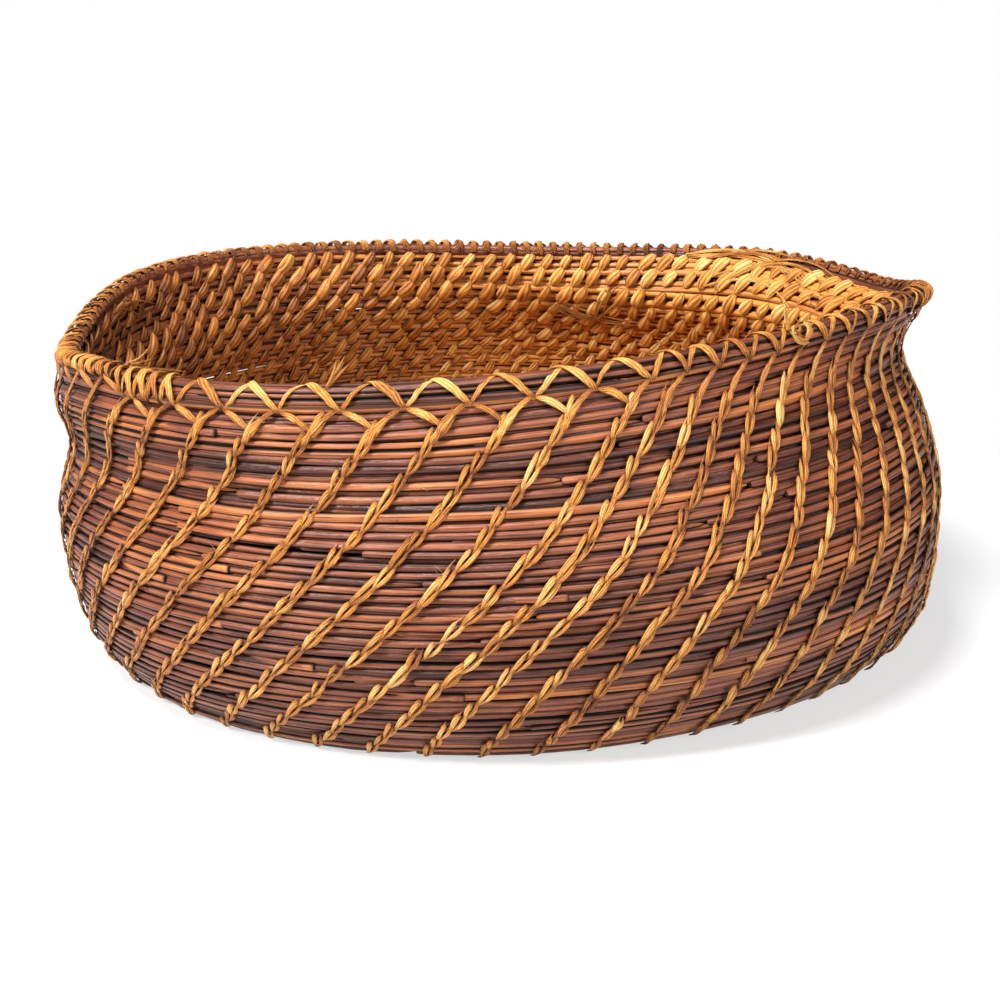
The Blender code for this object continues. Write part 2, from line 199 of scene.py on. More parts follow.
class MaterialBench(NodeBench):
    """A material under construction."""

    shift_scale: ClassVar[float] = 37.0

    def __init__(self, name: str) -> None:
        """Makes a new material with one Principled shader.

        Args:
            name: its name.
        """
        self.material = bpy.data.materials.new(name)
        self.material.use_nodes = True
        super().__init__(self.material.node_tree)
        self.shader = self.tree.nodes["Principled BSDF"]

    def attribute(self, which: Attribute, output: str = "Fac") -> Wire:
        """Returns a named value of the mesh."""
        return self.result("ShaderNodeAttribute", {"attribute_name": which.value}, name=output)

    def coordinates(self) -> Wire:
        """Returns the places on the object."""
        return self.result("ShaderNodeTexCoord", name="Object")

    def ring_axis(self, axis: str) -> Wire:
        """Returns the place round a strand's section, X toward its flat side and Y along it."""
        return self.result("ShaderNodeSeparateXYZ", None, {0: self.attribute(Attribute.RING, "Vector")}, axis)

    def noise(self, vector: Wire, scale: float, detail: float = 2.0, roughness: float = 0.5) -> Wire:
        """Returns noise between about 0.2 and 0.8 at places of the vector."""
        values = {"Vector": vector, "Scale": scale, "Detail": detail, "Roughness": roughness}
        return self.result("ShaderNodeTexNoise", None, values, "Fac")

    def grain(self, grain: Grain, shift: Wire) -> Wire:
        """Makes streaks that run along the strand, different on each strand.

        Args:
            grain: how fine the streaks are.
            shift: a value that differs from strand to strand.

        Returns:
            The streaks, between about 0.2 and 0.8.
        """
        ring = self.vector("SCALE", self.attribute(Attribute.RING, "Vector"), scale=grain.around)
        way = self.attribute(Attribute.WAY) * grain.along + shift * self.shift_scale
        place = self.result("ShaderNodeCombineXYZ", None, {"Z": way})
        return self.noise(self.vector("ADD", ring, place), 1.0, grain.detail, grain.roughness)

    def ramp(self, factor: Wire, stops: Sequence[tuple[float, Colour]]) -> Wire:
        """Looks up a colour on a ramp.

        Args:
            factor: the place on the ramp.
            stops: the ramp's places and colours.

        Returns:
            The colour.
        """
        made = self.node("ShaderNodeValToRGB", None, {"Fac": factor})
        elements = made.color_ramp.elements
        while len(elements) < len(stops):
            elements.new(1.0)
        for element, (position, colour) in zip(elements, stops):
            element.position = position
            element.color = colour
        return self.out(made)

    def span(self, value: Wire, low: float, high: float, to_low: float = 0.0, to_high: float = 1.0) -> Wire:
        """Returns the value mapped smoothly from one span to another, held at its ends."""
        values = {"Value": value, "From Min": low, "From Max": high, "To Min": to_low, "To Max": to_high}
        return self.result("ShaderNodeMapRange", {"interpolation_type": "SMOOTHSTEP"}, values)

    def mix(self, factor: Any, first: Any, second: Any) -> Wire:
        """Returns two colours mixed."""
        settings = {"data_type": "RGBA", "blend_type": "MIX"}
        return self.result("ShaderNodeMix", settings, {0: factor, 6: first, 7: second}, 2)

    def bump(self, height: Wire, distance: float, strength: float) -> Wire:
        """Returns the surface's normal, bumped by a height."""
        values = {"Height": height, "Distance": distance, "Strength": strength}
        return self.result("ShaderNodeBump", None, values, "Normal")

    def finish(self, **inputs: Any) -> bpy.types.Material:
        """Sets the shader's sockets, named with underscores for spaces, and returns the material."""
        self.fill(self.shader, {name.replace("_", " "): value for name, value in inputs.items()})
        return self.material


@dataclasses.dataclass(frozen=True)
class NeedleFinish:
    """Dried pine needles: glossy, plum brown to chestnut, with fine lengthwise streaks, and painted shade on
    each needle's sides and along a groove.
    """

    name: str
    shades: tuple[tuple[float, Colour], ...] = (
        (0.00, (0.010, 0.003, 0.002, 1.0)),
        (0.20, (0.042, 0.010, 0.006, 1.0)),
        (0.42, (0.115, 0.031, 0.016, 1.0)),
        (0.62, (0.230, 0.066, 0.026, 1.0)),
        (0.82, (0.405, 0.130, 0.036, 1.0)),
        (1.00, (0.660, 0.260, 0.055, 1.0)),
    )
    # Painted shade: the near-black colour that each needle's sides and groove are mixed toward, and the span
    # round the section where it fades in.
    crevice_painted_shade: Colour = (0.006, 0.002, 0.001, 1.0)
    painted_shade_span: tuple[float, float] = (0.22, 0.88)
    dust: Colour = (0.60, 0.27, 0.13, 1.0)
    streaks: Grain = Grain(around=2.6, along=45.0)
    fibres: Grain = Grain(around=6.5, along=110.0)
    patch_scale: float = 55.0
    roughness: tuple[float, float] = (0.16, 0.38)
    # Roughness where shade is painted, and the share of a needle's colour that the painted groove shade
    # leaves.
    painted_shade_roughness: float = 0.95
    groove_painted_shade: float = 0.25
    patch_share: float = 0.45
    streak_share: float = 0.75
    fibre_share: float = 0.40
    seat_turn: float = 7.3
    seat_reach: float = 0.9
    # Needles whose tint lies in this span, most of them paled by the painted inside light, have their painted
    # shade lifted up to this share.
    painted_light_span: tuple[float, float] = (0.68, 1.05)
    painted_light_fill: float = 0.70
    bump_height: float = 0.14 * MM

    def dress(self) -> bpy.types.Material:
        """Builds the material.

        Returns:
            The material.
        """
        bench = MaterialBench(self.name)
        tint = bench.attribute(Attribute.TINT)
        patch = bench.noise(bench.coordinates(), self.patch_scale)
        streak = bench.grain(self.streaks, tint)
        fibre = bench.grain(self.fibres, tint)
        shade = tint + (patch - 0.5) * self.patch_share + (streak - 0.5) * self.streak_share
        shade = shade + (fibre - 0.5) * self.fibre_share
        colour = bench.ramp(shade.clamped(), self.shades)
        worn = bench.span(fibre, 0.60, 0.78, 0.0, 0.18)
        colour = bench.mix(worn, colour, self.dust)
        # Painted shade between the needles: each needle's sides, which face its neighbours, fade to the
        # painted shade colour; raised is the share of its own colour left.
        raised = bench.span(bench.ring_axis("X").math("ABSOLUTE"), *self.painted_shade_span)
        # Painted shade along a groove on each needle, at a place set by its tint, broken where the patches
        # and streaks run high.
        seat = (tint * self.seat_turn).math("FRACT") * self.seat_reach - self.seat_reach / 2
        beside = (bench.ring_axis("Y") - seat).math("ABSOLUTE")
        groove = bench.span(beside, 0.03, 0.15) + bench.span(patch + (streak - 0.5), 0.42, 0.58)
        raised = raised * (groove.clamped() * (1.0 - self.groove_painted_shade) + self.groove_painted_shade)
        # Pale needles, most of them paled by the painted inside light, have the painted shade lifted.
        raised = raised.math("MAXIMUM", bench.span(tint, *self.painted_light_span, 0.0, self.painted_light_fill))
        colour = bench.mix(raised, self.crevice_painted_shade, colour)
        # Where shade is painted the needle is rougher, so it shows little sheen.
        rough = bench.span(streak + (fibre - 0.5) * 0.6, 0.3, 0.75, *self.roughness)
        rough = rough * raised + (1.0 - raised) * self.painted_shade_roughness
        height = fibre + streak * 0.8
        return bench.finish(Base_Color=colour, Roughness=rough, Specular_IOR_Level=0.34,
                            Normal=bench.bump(height, self.bump_height, 0.8))


@dataclasses.dataclass(frozen=True)
class RaffiaFinish:
    """Split raffia: dry golden fibre with browner streaks."""

    name: str
    shades: tuple[tuple[float, Colour], ...] = (
        (0.00, (0.050, 0.015, 0.007, 1.0)),
        (0.20, (0.190, 0.052, 0.012, 1.0)),
        (0.42, (0.450, 0.145, 0.022, 1.0)),
        (0.62, (0.650, 0.248, 0.042, 1.0)),
        (0.82, (0.815, 0.405, 0.090, 1.0)),
        (1.00, (0.920, 0.620, 0.240, 1.0)),
    )
    streaks: Grain = Grain(around=3.4, along=150.0)
    fibres: Grain = Grain(around=13.0, along=130.0)
    patch_scale: float = 150.0
    patch_share: float = 0.60
    streak_share: float = 0.85
    fibre_share: float = 0.90
    # Lines along the strand between its fibres, partly their own colour and partly painted shade in the
    # grooves.
    split_count: float = 8.0
    split_span: tuple[float, float] = (-1.0, 0.7)
    split_wander: float = 5.0
    split_shade: float = 0.30
    roughness: tuple[float, float] = (0.36, 0.64)
    bump_height: float = 0.34 * MM

    def dress(self) -> bpy.types.Material:
        """Builds the material.

        Returns:
            The material.
        """
        bench = MaterialBench(self.name)
        tint = bench.attribute(Attribute.TINT)
        patch = bench.noise(bench.coordinates(), self.patch_scale)
        streak = bench.grain(self.streaks, tint)
        fibre = bench.grain(self.fibres, tint)
        # Lines between the raffia's fibres: partly the fibres' own streaks, partly painted shade in the
        # grooves between them.
        turn = bench.ring_axis("Y") * self.split_count + (streak + patch) * self.split_wander
        turn = turn + tint * bench.shift_scale
        split = bench.span(turn.math("SINE"), *self.split_span)
        shade = tint + (patch - 0.5) * self.patch_share + (streak - 0.5) * self.streak_share
        shade = shade + (fibre - 0.5) * self.fibre_share + (split - 0.6) * self.split_shade
        colour = bench.ramp(shade.clamped(), self.shades)
        rough = bench.span(fibre, 0.3, 0.7, *self.roughness)
        height = fibre + streak + split * 0.8
        return bench.finish(Base_Color=colour, Roughness=rough, Specular_IOR_Level=0.32,
                            Normal=bench.bump(height, self.bump_height, 0.9))


@dataclasses.dataclass(frozen=True)
class PaperFinish:
    """A plain pale floor, which the camera sees nearly white, with the basket's shadow on it."""

    name: str = "pale_floor"
    colour: Colour = (0.86, 0.86, 0.86, 1.0)
    seen_share: float = 0.60
    fade_span: tuple[float, float] = (110.0 * MM, 230.0 * MM)

    def dress(self) -> bpy.types.Material:
        """Builds the material.

        Returns:
            The material.
        """
        bench = MaterialBench(self.name)
        bench.finish(Base_Color=self.colour, Roughness=0.9)
        glow = bench.result("ShaderNodeEmission", None, {"Color": (1.0, 1.0, 1.0, 1.0), "Strength": 1.0})
        path = bench.node("ShaderNodeLightPath")
        seen = bench.out(path, "Is Camera Ray").math("MAXIMUM", bench.out(path, "Is Glossy Ray"))
        away = bench.result(
            "ShaderNodeVectorMath", {"operation": "LENGTH"}, {0: bench.coordinates()}, "Value")
        share = bench.span(away, *self.fade_span, self.seen_share, 1.0)
        mixed = bench.result("ShaderNodeMixShader", None, {
            0: seen * share, 1: bench.out(bench.shader), 2: glow})
        bench.fill(bench.tree.nodes["Material Output"], {"Surface": mixed})
        return bench.material


def unit(vectors: np.ndarray) -> np.ndarray:
    """Returns the vectors at length 1."""
    return vectors / np.linalg.norm(vectors, axis=-1, keepdims=True)


def tilted(facing: np.ndarray, points: np.ndarray, tilt: np.ndarray) -> np.ndarray:
    """Returns the directions that a strand along the points faces, each tilted about its run."""
    run = unit(np.gradient(points, axis=0))
    return unit(facing * np.cos(tilt)[:, None] + np.cross(facing, run) * np.sin(tilt)[:, None])


@dataclasses.dataclass(frozen=True)
class BasketSkin:
    """The uneven bulging skin that the stitches' outer faces lie on, as the solids have it."""

    rim_height: float = 83.7 * MM
    height_shares: tuple[float, ...] = (0.0, 0.13, 0.45, 0.86, 1.0)
    radii: tuple[float, ...] = (101.4 * MM, 110.4 * MM, 114.7 * MM, 105.2 * MM, 106.5 * MM)
    middle_share: float = 0.45
    base_oval: tuple[float, float] = (0.9 * MM, 3.2 * MM)
    middle_oval: tuple[float, float] = (-4.0 * MM, -1.2 * MM)
    rim_oval: tuple[float, float] = (4.7 * MM, 1.5 * MM)
    middle_lobes: tuple[float, float] = (-1.1 * MM, -1.6 * MM)
    rim_lobes: tuple[float, float] = (2.8 * MM, 1.9 * MM)
    neck_dent: tuple[float, float] = (-4.2 * MM, -2.7 * MM)
    neck_share: float = 0.84
    neck_width_share: float = 0.10
    base_shift: tuple[float, float] = (4.2 * MM, 0.1 * MM)
    rim_shift: tuple[float, float] = (-1.9 * MM, 1.1 * MM)
    shift_power: float = 1.5
    rim_tilt: tuple[float, float] = (1.4 * MM, -0.3 * MM)
    rim_wave: tuple[float, float] = (0.3 * MM, -2.4 * MM)
    rim_dips: tuple[tuple[float, float], ...] = (
        (5.9 * MM, math.radians(12.0)), (7.7 * MM, math.radians(186.0)))
    rim_dip_width: float = math.radians(20.0)
    stitch_shift: tuple[float, float] = (-0.67 * MM, -0.65 * MM)
    foot_swell: float = 1.25 * MM
    foot_reach: float = 6.0 * MM
    step: float = 1.0e-4
    stretch_step: float = 0.5 * MM
    profile_points: int = 400
    plan_points: int = 720
    table_size: tuple[int, int] = (361, 181)

    def __post_init__(self) -> None:
        """Works out the profile's slopes, its length table and the middle of the plan."""
        object.__setattr__(self, "slopes", self.profile_slopes())
        object.__setattr__(self, "middle", np.zeros(2))
        shares = np.linspace(0.0, 1.0, self.profile_points)
        steps = np.hypot(np.diff(self.mean_radius(shares)), np.diff(shares * self.rim_height))
        object.__setattr__(self, "shares", shares)
        object.__setattr__(self, "arcs", np.concatenate([[0.0], np.cumsum(steps)]))
        angles = np.linspace(0.0, FULL_TURN, self.plan_points, endpoint=False)
        rings = [self.points(angles, np.full(self.plan_points, share))
                 for share in (self.middle_share / 2, self.middle_share, 1.0)]
        spread = np.concatenate(rings)
        middle = (spread.min(axis=0) + spread.max(axis=0))[:2] / 2 + np.array(self.stitch_shift)
        object.__setattr__(self, "middle", middle)
        object.__setattr__(self, "table", self.tabulate())

    def profile_slopes(self) -> np.ndarray:
        """Finds slopes at the profile's radii that never make the curve overshoot them.

        Returns:
            One slope for each radius.
        """
        widths = np.diff(self.height_shares)
        steps = np.diff(self.radii) / widths
        slopes = np.zeros(len(self.radii))
        for i in range(1, len(slopes) - 1):
            if steps[i - 1] * steps[i] > 0:
                left = 2 * widths[i] + widths[i - 1]
                right = widths[i] + 2 * widths[i - 1]
                slopes[i] = (left + right) / (left / steps[i - 1] + right / steps[i])
        for end, near, far in ((0, 0, 1), (-1, -1, -2)):
            slope = (2 * widths[near] + widths[far]) * steps[near] - widths[near] * steps[far]
            slope /= widths[near] + widths[far]
            if slope * steps[near] <= 0:
                slope = 0.0
            elif steps[near] * steps[far] <= 0 and abs(slope) > 3 * abs(steps[near]):
                slope = 3 * steps[near]
            slopes[end] = slope
        return slopes

    def mean_radius(self, shares: np.ndarray) -> np.ndarray:
        """Works out the profile without its unevenness.

        Args:
            shares: shares of the height.

        Returns:
            The mean radius at each share.
        """
        shares = np.clip(shares, 0.0, 1.0)
        knots = np.array(self.height_shares)
        values = np.array(self.radii)
        i = np.clip(np.searchsorted(knots, shares, side="right") - 1, 0, len(knots) - 2)
        width = knots[i + 1] - knots[i]
        t = (shares - knots[i]) / width
        rise = t * t * (3 - 2 * t)
        start = t * (1 - t) ** 2 * width * self.slopes[i]
        end = t * t * (t - 1) * width * self.slopes[i + 1]
        return values[i] * (1 - rise) + values[i + 1] * rise + start + end

    def top(self, angles: np.ndarray) -> np.ndarray:
        """Works out the rim's uneven top.

        Args:
            angles: the angle of each place.

        Returns:
            The height of the rim's top at each angle.
        """
        height = self.rim_height + self.wave(self.rim_tilt, 1, angles) + self.wave(self.rim_wave, 2, angles)
        for depth, middle in self.rim_dips:
            away = (angles - middle + math.pi) % FULL_TURN - math.pi
            height = height - depth * np.exp(-((away / self.rim_dip_width) ** 2))
        return height

    @staticmethod
    def wave(parts: tuple[float, float], lobes: int, angles: np.ndarray) -> np.ndarray:
        """Returns a wave round the basket at each angle."""
        return parts[0] * np.cos(lobes * angles) + parts[1] * np.sin(lobes * angles)

    def points(self, angles: np.ndarray, shares: np.ndarray) -> np.ndarray:
        """Returns points of the skin.

        Args:
            angles: the angle of each point.
            shares: the height share of each point.

        Returns:
            One row of x, y and z for each point.
        """
        to_rim = np.clip((shares - self.middle_share) / (1 - self.middle_share), 0.0, None)
        to_base = np.clip((self.middle_share - shares) / self.middle_share, 0.0, None)
        to_rim = to_rim ** self.shift_power
        to_base = to_base ** self.shift_power
        to_middle = 1 - to_rim - to_base
        radius = self.mean_radius(shares)
        radius = radius + to_base * self.wave(self.base_oval, 2, angles)
        for share, oval, lobes in ((to_middle, self.middle_oval, self.middle_lobes),
                                   (to_rim, self.rim_oval, self.rim_lobes)):
            radius += share * (self.wave(oval, 2, angles) + self.wave(lobes, 3, angles))
        dent = np.exp(-(((shares - self.neck_share) / self.neck_width_share) ** 2))
        radius += dent * self.wave(self.neck_dent, 1, angles)
        x = radius * np.cos(angles) + to_base * self.base_shift[0] + to_rim * self.rim_shift[0]
        y = radius * np.sin(angles) + to_base * self.base_shift[1] + to_rim * self.rim_shift[1]
        return np.stack([x - self.middle[0], y - self.middle[1], shares * self.top(angles)], axis=-1)

    def share_at(self, arcs: np.ndarray) -> np.ndarray:
        """Returns the height shares at lengths up the mean profile."""
        return np.interp(arcs, self.arcs, self.shares)

    def arc_at(self, shares: float | np.ndarray) -> float | np.ndarray:
        """Returns the lengths up the mean profile at height shares."""
        return np.interp(shares, self.shares, self.arcs)

    def stretch(self, angles: np.ndarray, arcs: np.ndarray, depth: float) -> np.ndarray:
        """Compares a surface behind the skin with the mean profile.

        Args:
            angles: the angle of each place.
            arcs: its length up the mean profile.
            depth: how far behind the skin the surface lies.

        Returns:
            How much longer the surface is than the profile, going up, at each place.
        """
        step = self.stretch_step
        low = np.clip(arcs - step, 0.0, self.arcs[-1] - 2 * step)
        ends = []
        for place in (low, low + 2 * step):
            skin, outward, _, _ = self.frames(angles, place)
            ends.append(skin - outward * depth)
        return np.linalg.norm(ends[1] - ends[0], axis=1) / (2 * step)

    def tabulate(self) -> np.ndarray:
        """Works out the skin on a grid of angles and lengths up the profile.

        Returns:
            Points, outward and upward directions, by angle and by length.
        """
        rings, levels = self.table_size
        angles = np.repeat(np.linspace(0.0, FULL_TURN, rings), levels)
        shares = self.share_at(np.tile(np.linspace(0.0, self.arcs[-1], levels), rings))
        low = np.clip(shares - self.step, 0.0, 1.0)
        high = np.clip(shares + self.step, 0.0, 1.0)
        up = unit(self.points(angles, high) - self.points(angles, low))
        along = unit(self.points(angles + self.step, shares) - self.points(angles - self.step, shares))
        outward = unit(np.cross(along, up))
        arcs = np.tile(np.linspace(0.0, self.arcs[-1], levels), rings)
        swell = self.foot_swell * np.exp(-((arcs / self.foot_reach) ** 2))
        rows = np.concatenate([self.points(angles, shares) + outward * swell[:, None], outward, up], axis=1)
        return rows.reshape(rings, levels, -1)

    def frames(self, angles: np.ndarray, arcs: np.ndarray) -> Frames:
        """Returns points of the skin with its directions there.

        Args:
            angles: the angle of each point.
            arcs: the length of each point up the mean profile.

        Returns:
            The points, and the directions outward, up the skin and along it counter-clockwise.
        """
        rings, levels = self.table_size
        across = (angles % FULL_TURN) / FULL_TURN * (rings - 1)
        height = np.clip(arcs / self.arcs[-1], 0.0, 1.0) * (levels - 1)
        i = np.minimum(across.astype(int), rings - 2)
        j = np.minimum(height.astype(int), levels - 2)
        u = (across - i)[:, None]
        v = (height - j)[:, None]
        lower = self.table[i, j] * (1 - u) + self.table[i + 1, j] * u
        upper = self.table[i, j + 1] * (1 - u) + self.table[i + 1, j + 1] * u
        rows = lower * (1 - v) + upper * v
        outward, up = unit(rows[:, 3:6]), unit(rows[:, 6:])
        over = np.clip(arcs - self.arcs[-1], 0.0, None)
        return rows[:, :3] + up * over[:, None], outward, up, unit(np.cross(up, outward))


SKIN = BasketSkin()


@dataclasses.dataclass(frozen=True)
class CoilPlan:
    """Where the rows of the needle coil run."""

    base_rows: int = 21
    wall_rows: int = 22
    start_arc: float = 1.3 * MM
    start_angle: float = math.radians(222.0)
    rim_row_height: float = 5.6 * MM
    lacing_room: float = 1.45 * MM
    stitch_room: float = 1.15 * MM
    depth: float = 4.0 * MM
    base_height: float = 2.75 * MM
    inner_radius: float = 2.0 * MM
    rise_turns: float = 0.5

    @property
    def level_arc(self) -> float:
        """The length up the profile at the rim row's top."""
        return float(SKIN.arcs[-1]) - self.lacing_room

    @property
    def pitch(self) -> float:
        """The height of one row."""
        return (self.level_arc - self.start_arc - self.rim_row_height) / (self.wall_rows - 0.5)

    def angle(self, turns: np.ndarray) -> np.ndarray:
        """Returns the angles after a number of turns from the wall's start."""
        return self.start_angle + FULL_TURN * turns

    def wall_arc(self, turns: np.ndarray) -> np.ndarray:
        """Returns how far up the profile the coil is after a number of turns."""
        return self.start_arc + self.pitch * turns

    def part_turn(self, angles: np.ndarray) -> np.ndarray:
        """Returns the share of a turn from the start to each angle."""
        return ((angles - self.start_angle) / FULL_TURN) % 1.0

    def part_at(self, angle: float) -> float:
        """Returns the share of a turn from the start to one angle."""
        return float(self.part_turn(np.array([angle]))[0])

    def lines(self, turns: np.ndarray) -> Frames:
        """Returns the coil's middle line with its directions, over the base and up the wall.

        Args:
            turns: turns from the wall's start, below zero on the base.

        Returns:
            The points, the directions to the outside, the directions from row to row, and the rows'
            heights as shares of the mean one.
        """
        angles = self.angle(turns)
        arcs = self.wall_arc(np.clip(turns, 0.0, None))
        skin, outward, up, _ = SKIN.frames(angles, arcs)
        middle = skin - outward * (self.stitch_room + self.depth / 2)
        edge = np.linalg.norm(middle[:, :2], axis=1)
        spoke = np.stack([middle[:, 0] / edge, middle[:, 1] / edge, np.zeros(len(edge))], axis=1)
        share = np.clip(1 + turns / self.base_rows, 0.0, 1.0)
        radius = self.inner_radius + (edge - self.inner_radius) * share
        rise = np.clip(1 + turns / self.rise_turns, 0.0, 1.0)
        rise = (rise * rise * (3 - 2 * rise))[:, None]
        flat = spoke * radius[:, None] + np.array([0.0, 0.0, self.base_height])
        flat[:, 2] += (middle[:, 2] - self.base_height) * rise[:, 0]
        on_base = (turns < 0)[:, None]
        down = np.array([0.0, 0.0, -1.0])
        side = unit(down * (1 - rise) + outward * rise)
        across = unit(spoke * (1 - rise) + up * rise)
        wall_stretch = SKIN.stretch(angles, arcs, self.stitch_room + self.depth / 2)
        flat_stretch = (edge - self.inner_radius) / (self.base_rows * self.pitch)
        flat_stretch = flat_stretch * (1 - rise[:, 0]) + wall_stretch * rise[:, 0]
        return (np.where(on_base, flat, middle), np.where(on_base, side, outward),
                np.where(on_base, across, up), np.where(turns < 0, flat_stretch, wall_stretch))


PLAN = CoilPlan()


def set_down(name: str, data: bpy.types.ID) -> bpy.types.Object:
    """Puts a new object into the scene.

    Args:
        name: its name.
        data: its mesh, lamp or camera.

    Returns:
        The object.
    """
    made = bpy.data.objects.new(name, data)
    bpy.context.scene.collection.objects.link(made)
    return made


def carry(mesh: bpy.types.Mesh, values: dict[Attribute, np.ndarray]) -> None:
    """Puts named values on a mesh's points.

    Args:
        mesh: the mesh.
        values: a number or a vector for each point, by name.
    """
    for which, data in values.items():
        kind, field = ("FLOAT", "value") if data.ndim == 1 else ("FLOAT_VECTOR", "vector")
        layer = mesh.attributes.new(which.value, kind, "POINT")
        layer.data.foreach_set(field, data.astype(np.float32).ravel())


class StrandBatch:
    """Guide lines that one sweep turns into strands."""

    def __init__(self) -> None:
        """Starts with no guides."""
        self.points: list[np.ndarray] = []
        self.values: dict[Attribute, list[np.ndarray]] = {
            which: [] for which in (Attribute.RADIUS, Attribute.TINT, Attribute.WAY, Attribute.FACING)}

    def add(self, points: np.ndarray, radii: np.ndarray, facing: np.ndarray,
            tint: float | np.ndarray) -> None:
        """Adds one guide.

        Args:
            points: the line's points.
            radii: half the strand's width at each point.
            facing: the direction that the strand's flat side faces at each point.
            tint: the strand's shade, from 0, darkest, to 1, palest, for all of it or for each point.
        """
        steps = np.linalg.norm(np.diff(points, axis=0), axis=1)
        points = points.copy()
        points[:, 2] = np.maximum(points[:, 2], np.asarray(radii) + FLOOR_GAP)
        self.points.append(points)
        self.values[Attribute.RADIUS].append(np.asarray(radii, float))
        self.values[Attribute.TINT].append(np.full(len(points), 0.0) + tint)
        self.values[Attribute.WAY].append(np.concatenate([[0.0], np.cumsum(steps)]))
        self.values[Attribute.FACING].append(facing)

    def guide(self, name: str) -> bpy.types.Object:
        """Makes the guides one mesh of loose edges with the strands' values on its points.

        Args:
            name: the mesh's name.

        Returns:
            The object that carries the mesh.
        """
        mesh = bpy.data.meshes.new(name)
        edges = []
        start = 0
        for line in self.points:
            run = np.arange(start, start + len(line) - 1)
            edges.append(np.stack([run, run + 1], axis=1))
            start += len(line)
        mesh.from_pydata(np.concatenate(self.points).tolist(), np.concatenate(edges).tolist(), [])
        carry(mesh, {which: np.concatenate(parts) for which, parts in self.values.items()})
        return set_down(name, mesh)


class GeometryTree(NodeBench):
    """A Geometry Nodes tree with named inputs, which is run once on a guide and leaves a plain mesh."""

    def __init__(self, name: str, inputs: dict[str, tuple[str, Any]]) -> None:
        """Makes the tree with its sockets.

        Args:
            name: the tree's name.
            inputs: each input's socket type and standing value, by name.
        """
        tree = bpy.data.node_groups.new(name, "GeometryNodeTree")
        super().__init__(tree)
        tree.interface.new_socket("Geometry", in_out="OUTPUT", socket_type="NodeSocketGeometry")
        tree.interface.new_socket("Geometry", in_out="INPUT", socket_type="NodeSocketGeometry")
        for label, (kind, standing) in inputs.items():
            socket = tree.interface.new_socket(label, in_out="INPUT", socket_type=kind)
            if standing is not None:
                socket.default_value = standing
        self.entry = tree.nodes.new("NodeGroupInput")
        self.exit = tree.nodes.new("NodeGroupOutput")

    def given(self, name: str) -> Wire:
        """Returns one of the tree's inputs."""
        return self.out(self.entry, name)

    def named(self, which: Attribute, kind: str = "FLOAT") -> Wire:
        """Returns a named value of the guide."""
        return self.result("GeometryNodeInputNamedAttribute", {"data_type": kind}, {"Name": which.value})

    def store(self, geometry: Wire, which: Attribute, value: Wire, kind: str) -> Wire:
        """Stores a value on a geometry under its name.

        Args:
            geometry: the geometry.
            which: the value's name.
            value: the value.
            kind: its data type.

        Returns:
            The geometry with the value.
        """
        settings = {"data_type": kind, "domain": "POINT"}
        values = {"Geometry": geometry, "Name": which.value, "Value": value}
        return self.result("GeometryNodeStoreNamedAttribute", settings, values)

    def flatten(self, curve: Wire, facing: Any, sides: Any, width: Wire) -> Wire:
        """Sweeps a flattened ring along a curve, with the place round the ring as a named value.

        Args:
            curve: the curve.
            facing: the direction that the flat side faces.
            sides: the number of sides of the ring.
            width: half the strand's width.

        Returns:
            The closed mesh.
        """
        curve = self.result("GeometryNodeSetCurveNormal", {"mode": "FREE"}, {
            "Curve": curve, "Normal": facing})
        ring = self.result("GeometryNodeCurvePrimitiveCircle", {"mode": "RADIUS"}, {
            "Resolution": sides, "Radius": 1.0}, "Curve")
        position = self.result("GeometryNodeInputPosition")
        ring = self.store(ring, Attribute.RING, position, "FLOAT_VECTOR")
        shape = self.result("ShaderNodeCombineXYZ", None, {0: self.given("Flatness"), 1: 1.0, 2: 1.0})
        ring = self.result("GeometryNodeTransform", None, {"Geometry": ring, "Scale": shape})
        return self.result("GeometryNodeCurveToMesh", None, {
            "Curve": curve, "Profile Curve": ring, "Scale": width, "Fill Caps": True})

    def close(self, geometry: Wire) -> None:
        """Ends the tree: real mesh, smooth, with the given material.

        Args:
            geometry: the geometry that the tree made.
        """
        smooth = self.result("GeometryNodeSetShadeSmooth", None, {"Geometry": geometry})
        real = self.result("GeometryNodeRealizeInstances", None, {"Geometry": smooth})
        values = {"Geometry": real, "Material": self.given("Material")}
        self.fill(self.exit, {0: self.result("GeometryNodeSetMaterial", None, values)})

    def run(self, guide: bpy.types.Object, name: str, values: dict[str, Any]) -> bpy.types.Object:
        """Runs the tree on a guide.

        Args:
            guide: the object that carries the guide, removed afterwards.
            name: the new piece's name.
            values: the tree's inputs by name.

        Returns:
            The piece, a plain mesh object at the origin.
        """
        modifier = guide.modifiers.new(self.tree.name, "NODES")
        modifier.node_group = self.tree
        for item in self.tree.interface.items_tree:
            if getattr(item, "in_out", "") == "INPUT" and item.name in values:
                modifier[item.identifier] = values[item.name]
        depsgraph = bpy.context.evaluated_depsgraph_get()
        mesh = bpy.data.meshes.new_from_object(guide.evaluated_get(depsgraph))
        guide.modifiers.remove(modifier)
        bpy.data.objects.remove(guide)
        mesh.name = name
        return set_down(name, mesh)


class SweepTree(GeometryTree):
    """Sweeps a round or flattened ring along every guide line."""

    def __init__(self) -> None:
        """Builds the tree."""
        super().__init__("strand_sweep", {
            "Sides": ("NodeSocketInt", 8),
            "Flatness": ("NodeSocketFloat", 1.0),
            "Material": ("NodeSocketMaterial", None),
        })
        curve = self.result("GeometryNodeMeshToCurve", None, {"Mesh": self.given("Geometry")})
        self.close(self.flatten(curve, self.named(Attribute.FACING, "FLOAT_VECTOR"),
                                self.given("Sides"), self.named(Attribute.RADIUS)))


